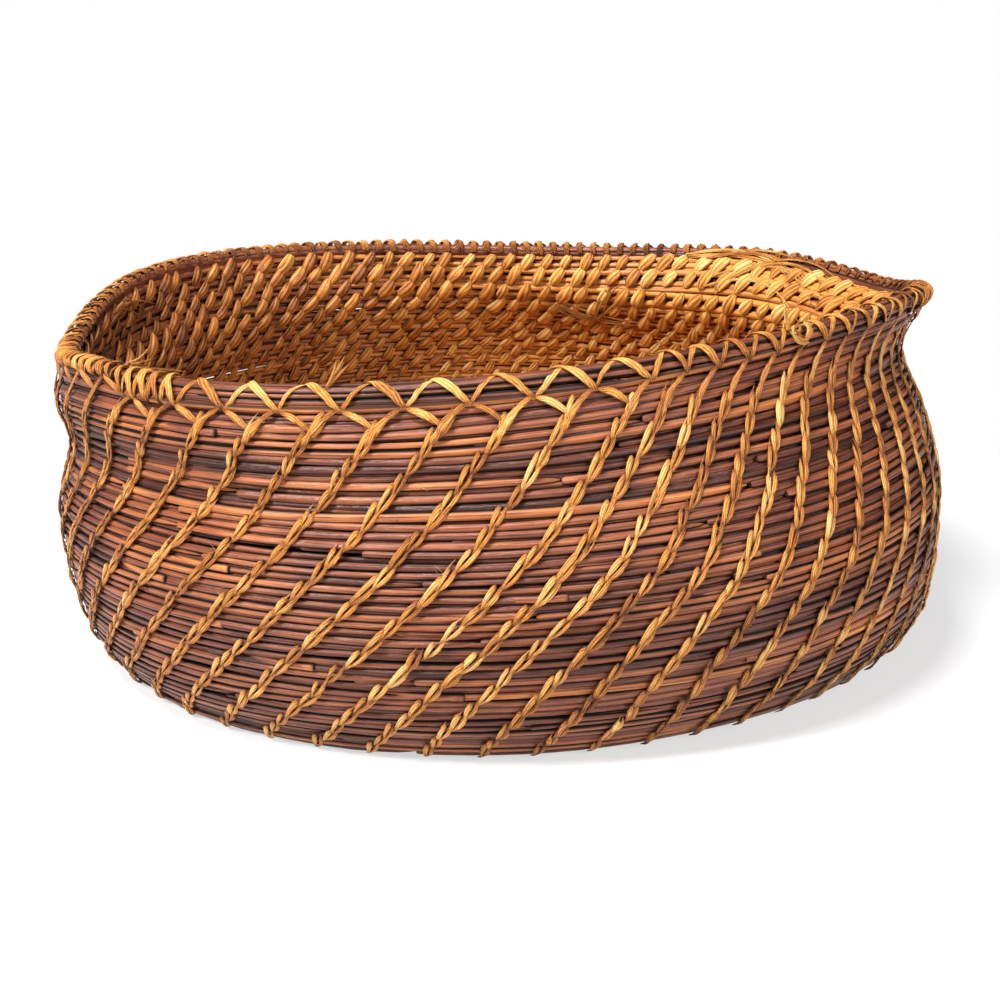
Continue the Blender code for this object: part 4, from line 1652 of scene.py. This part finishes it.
@dataclasses.dataclass
class BaseStitches:
    """The stitches of the base, on its underside and on the floor inside."""

    lean: float = math.radians(36.0)
    swirl: float = math.radians(60.0)
    seed: int = 170

    def build(self, shop: Workshop, chains: StitchChains) -> None:
        """Makes the dashes of both sides.

        Args:
            shop: the finishes and trees that make the piece.
            chains: the chains outside, which it follows.
        """
        rng = np.random.default_rng(self.seed)
        for name, below in (("underside_stitches", True), ("floor_stitches", False)):
            batch = DashBatch()
            for row in range(1, PLAN.base_rows):
                share = row / PLAN.base_rows
                step = 1 if share > 0.52 else 2 if share > 0.26 else 4 if share > 0.12 else 8
                for chain in chains.all()[::step]:
                    self.dash(batch, chain.foot - self.swirl * (1 - share), row, below, rng)
            bow = (0.55 if below else 0.8) * MM
            shop.stitches(batch, name, {"Length": 5.2 * MM, "Width": 2.1 * MM, "Bow": bow, "Flatness": 0.36})

    def dash(self, batch: DashBatch, angle: float, row: int, below: bool, rng: np.random.Generator) -> None:
        """Adds one dash on a row of the base.

        Args:
            batch: the places that it adds to.
            angle: its angle.
            row: the row, counted from the middle.
            below: whether it lies on the underside.
            rng: the random source.
        """
        part = PLAN.part_at(angle)
        turn = row - PLAN.base_rows + part - (1.0 if part > 0.5 else 0.0)
        if turn > -0.6:
            return
        middle, side, across, stretch = PLAN.lines(np.array([turn]))
        face = side[0] if below else -side[0]
        round_way = np.cross(face, across[0])
        run = across[0] * math.cos(self.lean) + round_way * math.sin(self.lean)
        point = middle[0] + face * (PLAN.depth / 2 - (0.62 * MM if below else 0.1 * MM))
        batch.add(point, face, run, float(stretch[0]), float(np.clip(0.48 + 0.12 * rng.normal(), 0.1, 0.9)))


@dataclasses.dataclass(frozen=True)
class Leg:
    """One leg of an arch: shares of the way to the next arch, swings round the row, widths in mm, shades,
    darker toward its ends as painted shade where it tucks under.
    """

    shares: tuple[float, ...]
    swings: tuple[float, ...]
    widths: tuple[float, ...]
    shades: tuple[float, ...]
    lift: tuple[float, ...]


# Painted shade: the legs' shades run darker toward the ends, where they tuck under the rim row.
RISING_LEG = Leg(
    shares=(-0.05, 0.00, 0.07, 0.15, 0.23, 0.31, 0.38, 0.44, 0.49, 0.53),
    swings=(2.70, 2.30, 1.80, 1.53, 1.19, 0.76, 0.38, 0.0, -0.70, -1.70),
    widths=(0.6, 0.9, 1.05, 1.15, 1.20, 1.25, 1.30, 1.30, 1.2, 0.9),
    shades=(-0.35, -0.18, -0.02, 0.05, 0.06, 0.10, 0.12, 0.08, -0.1, -0.3),
    lift=(-0.1, 0.0, 0.05, 0.05, 0.0, 0.0, 0.0, 0.0, 0.0, 0.0),
)
FALLING_LEG = Leg(
    shares=(0.28, 0.34, 0.40, 0.46, 0.53, 0.61, 0.71, 0.81, 0.90, 0.98, 1.04),
    swings=(-1.70, -0.90, -0.25, 0.12, 0.45, 0.80, 1.19, 1.53, 1.80, 2.30, 2.70),
    widths=(0.9, 1.3, 1.5, 1.65, 1.8, 1.85, 1.85, 1.75, 1.5, 1.1, 0.6),
    shades=(-0.3, -0.1, 0.04, 0.12, 0.14, 0.10, 0.06, 0.02, -0.08, -0.22, -0.35),
    lift=(0.0, 0.1, 0.30, 0.38, 0.42, 0.40, 0.35, 0.28, 0.25, 0.15, -0.05),
)


@dataclasses.dataclass(frozen=True)
class Band:
    """A flat strand under the rim: heights over the needles and widths in mm, and shades with painted shade
    at both ends where it tucks under, along it.
    """

    heights: tuple[float, ...]
    widths: tuple[float, ...]
    shades: tuple[float, ...]


# Painted shade: the straps' and risers' shades run darker toward the ends, where they tuck under.
STRAP = Band(
    heights=(0.0, 0.5, 0.75, 0.85, 0.85, 0.8, 0.7, 0.5, -0.1),
    widths=(0.5, 1.0, 1.3, 1.5, 1.55, 1.45, 1.25, 1.0, 0.5),
    shades=(-0.3, -0.1, 0.05, 0.1, 0.08, 0.0, -0.05, -0.15, -0.35),
)
RISER = Band(
    heights=(-0.2, 0.35, 0.6, 0.65, 0.65, 0.65, 0.6, 0.5, 0.2),
    widths=(0.4, 0.8, 1.0, 1.0, 0.95, 0.95, 0.9, 0.8, 0.5),
    shades=(-0.3, -0.1, 0.05, 0.0, 0.05, 0.0, 0.0, -0.1, -0.25),
)


@dataclasses.dataclass
class RimLacing:
    """Flat raffia that arches over the rim row, with the straps and risers under it."""

    stand: float = 0.22 * MM
    half_depth: float = 2.05 * MM
    corner_power: float = 0.70
    foot_shift: float = math.radians(0.9)
    pale_span: tuple[float, float] = (math.radians(228.0), math.radians(292.0))
    strapped_gap: float = math.radians(5.5)
    dense_span: tuple[float, float] = (math.radians(-18.0), math.radians(226.0))
    dense_wraps: int = 3
    dense_lift: float = 0.30 * MM
    strap_drop: float = 3.9 * MM
    riser_reach: float = 12.5 * MM
    riser_strands: tuple[tuple[float, float, float], ...] = ((0.42, 1.15, 0.0), (-0.38, 1.0, -0.12))
    seed: int = 210

    def over_rim(self, row: RimRow, angles: np.ndarray, swings: np.ndarray) -> tuple[np.ndarray, np.ndarray]:
        """Returns points round the rim row's section, with the directions away from it.

        Args:
            row: the rim row.
            angles: the angle round the basket of each point.
            swings: the angle round the section, 0 on top, positive outside.

        Returns:
            The points and the directions away from the row.
        """
        turns = PLAN.part_turn(angles)
        middle, outward, up, half = row.section(turns)
        sine, cosine = np.sin(swings), np.cos(swings)
        side = (np.sign(sine) * np.abs(sine) ** self.corner_power)[:, None]
        top = (np.sign(cosine) * np.abs(cosine) ** self.corner_power)[:, None]
        wide = self.half_depth + self.stand
        high = (half + self.stand)[:, None]
        points = middle + outward * side * wide + up * top * high
        lean = 2 - self.corner_power
        away = (outward * (np.sign(sine) * np.abs(sine) ** lean)[:, None] / wide
                + up * (np.sign(cosine) * np.abs(cosine) ** lean)[:, None] / high)
        return points, unit(away)

    def shade(self, angle: float, rng: np.random.Generator) -> float:
        """Draws the raffia's shade: palest at the front, golden brown elsewhere.

        Args:
            angle: the place's angle.
            rng: the random source.

        Returns:
            The shade.
        """
        place = angle % FULL_TURN
        fade = math.radians(12.0)
        low, high = self.pale_span
        share = min(max(min((place - low) / fade, (high - place) / fade), 0.0), 1.0)
        return 0.47 + 0.17 * share + 0.08 * rng.normal()

    def build(self, shop: Workshop, row: RimRow, chains: StitchChains) -> None:
        """Makes the lacing.

        Args:
            shop: the finishes and trees that make the piece.
            row: the rim row.
            chains: the chains outside, which it follows.
        """
        rng = np.random.default_rng(self.seed)
        batch = StrandBatch()
        for chain, after in chains.pairs():
            start, gap = chain.top + self.foot_shift, after.top - chain.top
            dense = self.dense_span[0] < (start + math.pi / 2) % FULL_TURN - math.pi / 2 < self.dense_span[1]
            wraps = self.dense_wraps if dense else 1
            for part in range(wraps):
                raised = self.dense_lift if dense else 0.0
                self.arch(batch, row, start + gap * part / wraps, gap / wraps, raised, rng)
            if gap > self.strapped_gap:
                self.strap(batch, chains, start, after, rng)
            self.riser(batch, chains, chain, start, rng)
        shop.strands(batch, "rim_raffia", Slot.RIM_RAFFIA, ["rim_lacing"], 8, 0.30)

    def arch(self, batch: StrandBatch, row: RimRow, start: float, gap: float, raised: float,
             rng: np.random.Generator) -> None:
        """Adds the rising and the falling leg of one arch.

        Args:
            batch: the guides that it adds to.
            row: the rim row.
            start: the angle that the arch starts at.
            gap: the angle to the next arch.
            raised: how far it stands up more, none for a plain one.
            rng: the random source.
        """
        tint = self.shade(start, rng)
        scale = 1.05 if raised else min(1.0, 0.80 + 0.20 * gap / math.radians(7.0))
        fine = np.linspace(0.0, 1.0, 19)
        for leg in (RISING_LEG, FALLING_LEG):
            knots = np.linspace(0.0, 1.0, len(leg.shares))
            bend = 0.035 * rng.normal() * np.sin(fine * math.pi)
            angles = start + gap * (np.interp(fine, knots, leg.shares) + bend)
            swings = np.interp(fine, knots, leg.swings) + 0.06 * rng.normal()
            points, facing = self.over_rim(row, angles, swings)
            lift = np.interp(fine, knots, leg.lift) * MM + raised * (0.6 + 0.8 * rng.random())
            widths = np.interp(fine, knots, leg.widths) * MM / 2 * scale * (0.85 + 0.3 * rng.random())
            tilt = 0.22 * rng.normal() + 0.25 * np.sin(fine * math.pi + rng.normal())
            facing = tilted(facing, points, tilt)
            tints = tint + np.interp(fine, knots, leg.shades)
            batch.add(points + facing * lift[:, None], widths, facing, tints)

    def under_row(self, angle: float) -> float:
        """Returns the length up the wall of the rim row's lower edge at an angle."""
        part = PLAN.part_at(angle)
        return PLAN.start_arc + PLAN.pitch * (PLAN.wall_rows - 0.5 + part)

    def strap(self, batch: StrandBatch, chains: StitchChains, start: float, after: Chain,
              rng: np.random.Generator) -> None:
        """Adds the flat strap that runs down to the right from an arch's foot to the next chain.

        Args:
            batch: the guides that it adds to.
            chains: the chains outside, which it follows.
            start: the angle of the foot.
            after: the next chain.
            rng: the random source.
        """
        arc = self.under_row(start) + 0.35 * MM
        share = np.linspace(0.0, 1.0, 9)
        drop = self.strap_drop * (1 + 0.10 * rng.normal())
        end = after.place_at(arc - drop) + math.radians(0.35)
        arcs = arc - drop * (share * 0.75 + share * share * 0.25) + 0.35 * MM * np.sin(share * math.pi)
        height = np.array(STRAP.heights) * MM
        skin, outward, _, _ = SKIN.frames(start + (end - start) * share, arcs)
        points = skin - outward * (chains.face_depth - height)[:, None]
        widths = np.array(STRAP.widths) * (1.0 + 0.15 * rng.normal()) * MM / 2
        batch.add(points, widths, outward, self.shade(start, rng) - 0.05 + np.array(STRAP.shades))

    def riser(self, batch: StrandBatch, chains: StitchChains, chain: Chain, start: float,
              rng: np.random.Generator) -> None:
        """Adds the two strands from a chain's last stitch up to the foot of its arch.

        Args:
            batch: the guides that it adds to.
            chains: the chains outside, which it follows.
            chain: the chain.
            start: the angle of the foot.
            rng: the random source.
        """
        high = self.under_row(start) + 0.5 * MM
        low = PLAN.level_arc - self.riser_reach
        share = np.linspace(0.0, 1.0, 9)
        arcs = low + (high - low) * share
        for offset, width, lead in self.riser_strands:
            course = chain.angle_at(arcs)
            pull = np.clip((share - 0.5) / 0.5, 0.0, 1.0) ** 2
            course = course * (1 - pull) + (start + (course - chain.top)) * pull
            sway = offset * MM / chains.mean_radius * np.sin(share * math.pi * 2.6 + lead)
            skin, outward, _, _ = SKIN.frames(course + sway, arcs)
            points = skin - outward * (chains.face_depth - np.array(RISER.heights) * MM)[:, None]
            widths = np.array(RISER.widths) * width * MM / 2
            batch.add(points, widths, outward, 0.50 + 0.08 * rng.normal() + np.array(RISER.shades))


@dataclasses.dataclass
class CoilStart:
    """The raffia-wrapped curl that the base is wound from."""

    turns: float = 1.6
    reach: float = 6.4 * MM
    core_radius: float = 1.55 * MM
    sink: float = 0.35 * MM
    wraps: int = 30
    wrap_points: int = 12
    wrap_width: float = 1.5 * MM
    lining_turns: float = 3.5
    lining_reach: float = 9.5 * MM
    lining_width: float = 3.8 * MM
    seed: int = 280

    def build(self, shop: Workshop) -> None:
        """Makes the curl, its wraps and its lining.

        Args:
            shop: the finishes and trees that make the piece.
        """
        rng = np.random.default_rng(self.seed)
        batch = StrandBatch()
        share = np.linspace(0.0, 1.0, 48)
        line = self.curl(share)
        above = np.tile(np.array([0.0, 0.0, 1.0]), (len(share), 1))
        radii = self.core_radius * np.interp(share, [0.0, 0.06, 1.0], [0.6, 1.0, 1.0])
        batch.add(line, radii, above, 0.30)
        for number in range(self.wraps):
            part = np.linspace(0.0, 1.0, self.wrap_points)
            line, run = self.course((number + part) / self.wraps)
            upward = above[:self.wrap_points]
            swing = part[:, None] * FULL_TURN + 0.3 * rng.normal()
            facing = upward * np.cos(swing) + np.cross(run, upward) * np.sin(swing)
            widths = np.full(self.wrap_points, self.wrap_width / 2) * (0.85 + 0.3 * rng.random())
            batch.add(line + facing * self.core_radius, widths, facing, 0.50 + 0.1 * rng.normal())
        self.line(batch)
        shop.strands(batch, "coil_start", Slot.WALL_RAFFIA, [], 8, 0.35)

    def line(self, batch: StrandBatch) -> None:
        """Adds the flat spiral of raffia within the base's thickness under the curl.

        Args:
            batch: the guides that it adds to.
        """
        share = np.linspace(0.0, 1.0, 60)
        angle = FULL_TURN * self.lining_turns * share
        points = self.spiral(self.lining_reach * share, angle, PLAN.base_height - 0.2 * MM)
        above = np.tile(np.array([0.0, 0.0, 1.0]), (len(share), 1))
        batch.add(points, np.full(len(share), self.lining_width / 2), above, 0.35)

    @staticmethod
    def spiral(radius: np.ndarray, angle: np.ndarray, height: float) -> np.ndarray:
        """Returns the points of a flat spiral round the middle of the base."""
        return np.stack([radius * np.cos(angle), radius * np.sin(angle), np.full(len(angle), height)], axis=1)

    def curl(self, share: np.ndarray) -> np.ndarray:
        """Works out the curl's middle line.

        Args:
            share: shares of its length.

        Returns:
            The points of the line.
        """
        angle = PLAN.start_angle + FULL_TURN * self.turns * (share - 1)
        radius = self.reach * np.clip(share, 0.0, None) ** 0.8
        return self.spiral(radius, angle, PLAN.base_height - self.sink)

    def course(self, share: np.ndarray) -> tuple[np.ndarray, np.ndarray]:
        """Returns the curl's middle line and its direction at shares of its length."""
        return self.curl(share), unit(self.curl(share + 0.01) - self.curl(share - 0.01 * (share > 0.01)))


@dataclasses.dataclass
class CutEnds:
    """Blunt needle ends that stand a little out of the rows, each with its cut end painted near black as
    shade for the hollow beside it.
    """

    places: tuple[tuple[float, float], ...] = (
        (259.8, 0.667), (239.0, 0.854), (240.3, 0.512), (230.8, 0.458), (239.0, 0.367), (249.5, 0.275),
        (251.0, 0.885), (272.0, 0.438), (265.2, 0.208), (276.5, 0.492), (297.0, 0.520), (311.0, 0.310),
        (20.0, 0.62), (48.0, 0.35), (75.0, 0.74), (101.0, 0.50), (133.0, 0.28), (158.0, 0.66), (190.0, 0.44),
    )
    length: float = 26.0 * MM
    radius: float = 0.82 * MM
    stand: float = 0.42 * MM
    root_depth: float = 1.6 * MM
    sizes: tuple[float, ...] = (0.80, 0.98, 1.05, 1.05, 1.0, 1.0, 1.0, 0.9)
    # The first shade paints the cut end near black: painted shade for the hollow where the needle stops.
    shades: tuple[float, ...] = (-1.2, -0.2, 0.05, 0.0, 0.0, 0.0, 0.0, 0.0)
    seed: int = 300

    def build(self, shop: Workshop) -> None:
        """Makes all the ends.

        Args:
            shop: the finishes and trees that make the piece.
        """
        rng = np.random.default_rng(self.seed)
        batch = StrandBatch()
        for angle, share in self.places:
            self.end(batch, math.radians(angle), share, rng)
        shop.strands(batch, "needle_ends", Slot.WALL_NEEDLES, [], 10, 0.9)

    def end(self, batch: StrandBatch, angle: float, share: float, rng: np.random.Generator) -> None:
        """Adds one end, which comes out from between the rows and stops at the place.

        Args:
            batch: the guides that it adds to.
            angle: the place's angle.
            share: its height share.
            rng: the random source.
        """
        back = np.array([0.0, 0.12 * MM, 0.7 * MM, 3.0 * MM, 7.0 * MM, 12.0 * MM, 18.0 * MM, self.length])
        arc = float(SKIN.arc_at(share))
        turn = (arc - PLAN.start_arc) / PLAN.pitch
        part = PLAN.part_at(angle)
        row = round(turn - part)
        turns = row + part - back / (FULL_TURN * StitchChains.mean_radius)
        middle, side, across, _ = PLAN.lines(turns)
        rise = (0.95 if turn - part > row else -0.95) * MM * (1 + 0.25 * rng.normal())
        stands = [self.stand, self.stand * 0.75, -self.root_depth]
        stand = np.interp(back, [0.0, 7.0 * MM, self.length], stands)
        points = middle + across * rise + side * (PLAN.depth / 2 - self.radius + stand)[:, None]
        radii = self.radius * np.array(self.sizes)
        batch.add(points, radii, side, 0.55 + 0.2 * rng.random() + np.array(self.shades))


@dataclasses.dataclass(frozen=True)
class Tuft:
    """A frayed tuft: its angle, height share, depth behind the skin, the way it points, and its hairs."""

    angle: float
    share: float
    depth: float
    point: tuple[float, float, float]
    length: float
    hairs: int
    spread: float
    width: float = 0.35 * MM
    tint: float = 0.6


@dataclasses.dataclass(frozen=True)
class Sweep:
    """Loose raffia lying along the inside: from one angle and share to another, bowed, in some strands."""

    start: tuple[float, float]
    end: tuple[float, float]
    bow: float
    strands: int
    width: float
    tint: float = 0.8


@dataclasses.dataclass
class LooseRaffia:
    """The frayed raffia tufts at the rim, the knot at its right and a few hairs on the wall."""

    tufts: tuple[Tuft, ...] = (
        Tuft(252.6, 0.985, 2.2 * MM, (0.7, 0.0, 1.0), 5.5 * MM, 4, 0.12, 0.85 * MM, 0.45),
        Tuft(309.3, 0.985, 2.0 * MM, (-0.15, 0.1, 1.0), 5.5 * MM, 4, 0.08, 0.8 * MM, 0.75),
        Tuft(222.5, 0.985, 4.0 * MM, (1.0, 0.15, 0.0), 7.0 * MM, 7, 0.10, 0.7 * MM, 0.48),
        Tuft(238.6, 0.560, 0.6 * MM, (-0.5, -1.0, 0.8), 3.5 * MM, 2, 0.25, 0.16 * MM, 0.8),
        Tuft(239.4, 0.468, 0.6 * MM, (0.8, -1.0, 0.0), 3.0 * MM, 2, 0.35, 0.16 * MM, 0.8),
        Tuft(264.0, 0.545, 0.6 * MM, (-0.2, -1.0, 0.9), 3.0 * MM, 2, 0.25, 0.16 * MM, 0.8),
        Tuft(262.0, 0.735, 0.6 * MM, (0.7, -1.0, -0.3), 3.5 * MM, 2, 0.25, 0.14 * MM, 0.85),
    )
    sweeps: tuple[Sweep, ...] = (
        Sweep((52.0, 0.93), (30.0, 0.90), 3.0 * MM, 6, 1.2 * MM, 0.56),
        Sweep((46.0, 0.86), (24.0, 0.88), 5.0 * MM, 5, 1.1 * MM, 0.58),
        Sweep((78.0, 0.80), (62.0, 0.76), -2.5 * MM, 6, 1.2 * MM, 0.60),
        Sweep((74.0, 0.72), (67.0, 0.84), 2.0 * MM, 4, 1.1 * MM, 0.60),
        Sweep((168.0, 0.93), (158.0, 0.86), 2.5 * MM, 5, 1.1 * MM, 0.42),
    )
    hair_widths: tuple[float, ...] = (1.0, 1.0, 0.95, 0.85, 0.7, 0.5, 0.2)
    knot_angle: float = math.radians(311.5)
    knot_spread: float = 3.4 * MM
    knot_loops: int = 6
    seed: int = 330

    def build(self, shop: Workshop, row: RimRow, lacing: RimLacing) -> None:
        """Makes the tufts, the loose strands and the knot.

        Args:
            shop: the finishes and trees that make the piece.
            row: the rim row.
            lacing: the lacing, whose course the knot follows.
        """
        rng = np.random.default_rng(self.seed)
        batch = StrandBatch()
        for tuft in self.tufts:
            self.fray(batch, tuft, rng)
        for sweep in self.sweeps:
            self.lie(batch, sweep, rng)
        self.knot(batch, row, lacing, rng)
        shop.strands(batch, "loose_raffia", Slot.RIM_RAFFIA, [], 6, 0.4)

    def fray(self, batch: StrandBatch, tuft: Tuft, rng: np.random.Generator) -> None:
        """Adds one tuft's hairs.

        Args:
            batch: the guides that it adds to.
            tuft: the tuft.
            rng: the random source.
        """
        arc = float(SKIN.arc_at(tuft.share))
        skin, outward, up, _ = SKIN.frames(np.array([math.radians(tuft.angle)]), np.array([arc]))
        root = skin[0] - outward[0] * tuft.depth
        heading = np.array(tuft.point)
        heading = heading / np.linalg.norm(heading)
        share = np.linspace(0.0, 1.0, len(self.hair_widths))[:, None]
        for _ in range(tuft.hairs):
            stray = tuft.spread * rng.normal(size=3)
            curl = 0.22 * rng.normal(size=3)
            length = tuft.length * (0.6 + 0.5 * rng.random())
            start = root + 0.5 * MM * rng.normal(size=3)
            points = start + (heading + stray) * share * length + curl * share * share * length
            widths = tuft.width / 2 * np.array(self.hair_widths)
            facing = np.tile(unit(np.cross(heading, up[0] + 0.3 * rng.normal(size=3))), (len(share), 1))
            batch.add(points, widths, facing, tuft.tint + 0.12 * rng.normal())

    @staticmethod
    def lie(batch: StrandBatch, sweep: Sweep, rng: np.random.Generator) -> None:
        """Adds strands that lie along the inside of the wall.

        Args:
            batch: the guides that it adds to.
            sweep: where they lie.
            rng: the random source.
        """
        share = np.linspace(0.0, 1.0, 14)
        for _ in range(sweep.strands):
            first, last = np.array(sweep.start), np.array(sweep.end)
            first = first + np.array([1.2, 0.012]) * rng.normal(size=2)
            last = last + np.array([2.2, 0.022]) * rng.normal(size=2)
            places = first + (last - first) * share[:, None]
            arcs = SKIN.arc_at(places[:, 1])
            arcs = arcs + sweep.bow * (0.6 + 0.8 * rng.random()) * np.sin(share * math.pi)
            skin, outward, _, _ = SKIN.frames(np.radians(places[:, 0]), arcs)
            lift = (0.7 + 0.9 * rng.random() * np.sin(share * math.pi * (1.0 + rng.random()))) * MM
            depth = PLAN.stitch_room + PLAN.depth + lift
            widths = np.interp(share, [0.0, 0.15, 0.7, 1.0], [0.4, 1.0, 0.8, 0.2]) * sweep.width / 2
            widths = widths * (0.6 + 0.6 * rng.random())
            batch.add(skin - outward * depth[:, None], widths, -outward, sweep.tint + 0.1 * rng.normal())

    def knot(self, batch: StrandBatch, row: RimRow, lacing: RimLacing, rng: np.random.Generator) -> None:
        """Adds the small knot of curled raffia on the rim row's outer edge.

        Args:
            batch: the guides that it adds to.
            row: the rim row.
            lacing: the lacing, whose course it follows.
            rng: the random source.
        """
        share = np.linspace(0.0, 1.0, 22)
        for loop in range(self.knot_loops):
            phase = rng.random() * FULL_TURN
            size = self.knot_spread * (0.4 + 0.8 * rng.random())
            turn = phase + share * FULL_TURN * (0.25 + 0.3 * rng.random())
            drift = 1.6 * MM * rng.normal() + 2.5 * MM * (share - 0.5) * rng.normal()
            angles = self.knot_angle + (size * np.cos(turn) + drift) / row.mean_radius
            swings = 1.0 + 0.6 * np.sin(turn) * (0.5 + 0.5 * rng.random()) + 0.3 * rng.normal()
            points, facing = lacing.over_rim(row, angles, swings)
            lift = (0.35 + 0.22 * loop + 0.3 * np.sin(turn * 1.5 + phase)) * MM
            widths = np.interp(share, [0.0, 0.1, 0.8, 1.0], [0.4, 1.0, 0.9, 0.3])
            widths = widths * (0.6 + 0.7 * rng.random()) * MM / 2
            batch.add(points + facing * lift[:, None], widths, facing, 0.62 + 0.1 * rng.normal())


@dataclasses.dataclass
class Studio:
    """The floor, the soft lights and the camera at the photograph's angle."""

    elevation: float = math.radians(16.0821)
    roll: float = math.radians(-1.2163)
    lens: float = 61.282
    distance: float = 448.0 * MM
    aim: tuple[float, float, float] = (0.1602 * MM, 0.0, 27.4728 * MM)
    floor_size: float = 3.0
    world_strength: float = 0.14
    lamps: tuple[tuple[str, tuple[float, float, float], float, float], ...] = (
        ("key", (-0.80, -0.56, 0.82), 0.24, 18.0),
        ("inner", (-0.30, -0.45, 1.20), 0.40, 25.0),
        ("fill", (0.75, -0.75, 0.45), 0.50, 7.5),
    )
    lamp_target: tuple[float, float, float] = (0.0, 0.0, 0.04)
    sensor_width: float = 36.0

    def build(self) -> None:
        """Sets up the whole studio."""
        self.floor()
        self.world()
        for name, spot, size, power in self.lamps:
            self.lamp(name, spot, size, power)
        self.camera()
        bpy.context.scene.view_settings.view_transform = "Standard"

    def floor(self) -> None:
        """Lays the pale floor."""
        half = self.floor_size / 2
        mesh = bpy.data.meshes.new("floor")
        corners = [(-half, -half, 0.0), (half, -half, 0.0), (half, half, 0.0), (-half, half, 0.0)]
        mesh.from_pydata(corners, [], [(0, 1, 2, 3)])
        mesh.materials.append(PaperFinish().dress())
        set_down("floor", mesh)

    def world(self) -> None:
        """Lights the scene evenly, and shows the camera a white backdrop."""
        world = bpy.data.worlds.new("studio")
        bpy.context.scene.world = world
        world.use_nodes = True
        bench = NodeBench(world.node_tree)
        path = bench.node("ShaderNodeLightPath")
        seen = bench.out(path, "Is Camera Ray").math("MAXIMUM", bench.out(path, "Is Transmission Ray"))
        strength = seen * (1.0 - self.world_strength) + self.world_strength
        bench.fill(world.node_tree.nodes["Background"], {
            "Strength": strength, "Color": (1.0, 1.0, 1.0, 1.0)})

    def lamp(self, name: str, spot: tuple[float, float, float], size: float, power: float) -> None:
        """Adds one large soft lamp that faces the basket.

        Args:
            name: its name.
            spot: where it stands.
            size: its width.
            power: its power in watts.
        """
        light = bpy.data.lights.new(name, "AREA")
        light.shape = "DISK"
        light.size = size
        light.energy = power
        lamp = set_down(name, light)
        lamp.location = spot
        facing = Vector(self.lamp_target) - Vector(spot)
        lamp.rotation_euler = facing.to_track_quat("-Z", "Y").to_euler()

    def camera(self) -> None:
        """Stands the camera where the photograph was taken from."""
        target = Vector(self.aim) - Vector((*SKIN.middle, 0.0))
        back = Vector((0.0, -math.cos(self.elevation), math.sin(self.elevation)))
        right = Vector((1.0, 0.0, 0.0))
        up = Vector((0.0, math.sin(self.elevation), math.cos(self.elevation)))
        level = right * math.cos(self.roll) + up * math.sin(self.roll)
        upright = -right * math.sin(self.roll) + up * math.cos(self.roll)
        lens = bpy.data.cameras.new("camera")
        lens.lens = self.lens
        lens.sensor_width = self.sensor_width
        camera = set_down("camera", lens)
        camera.rotation_euler = Matrix((level, upright, back)).transposed().to_euler()
        camera.location = target + back * self.distance
        bpy.context.scene.camera = camera


def main() -> None:
    """Dresses the basket and sets up the studio."""
    logging.basicConfig(level=logging.INFO, format="%(name)s: %(message)s")
    shop = Workshop.open()
    chains = StitchChains()
    rim = RimRow()
    NeedleCoil().build(shop)
    rim.build(shop)
    chains.build(shop)
    InnerStitches().build(shop, chains)
    BaseStitches().build(shop, chains)
    lacing = RimLacing()
    lacing.build(shop, rim, chains)
    CoilStart().build(shop)
    CutEnds().build(shop)
    LooseRaffia().build(shop, rim, lacing)
    Studio().build()


if __name__ == "__main__":
    main()
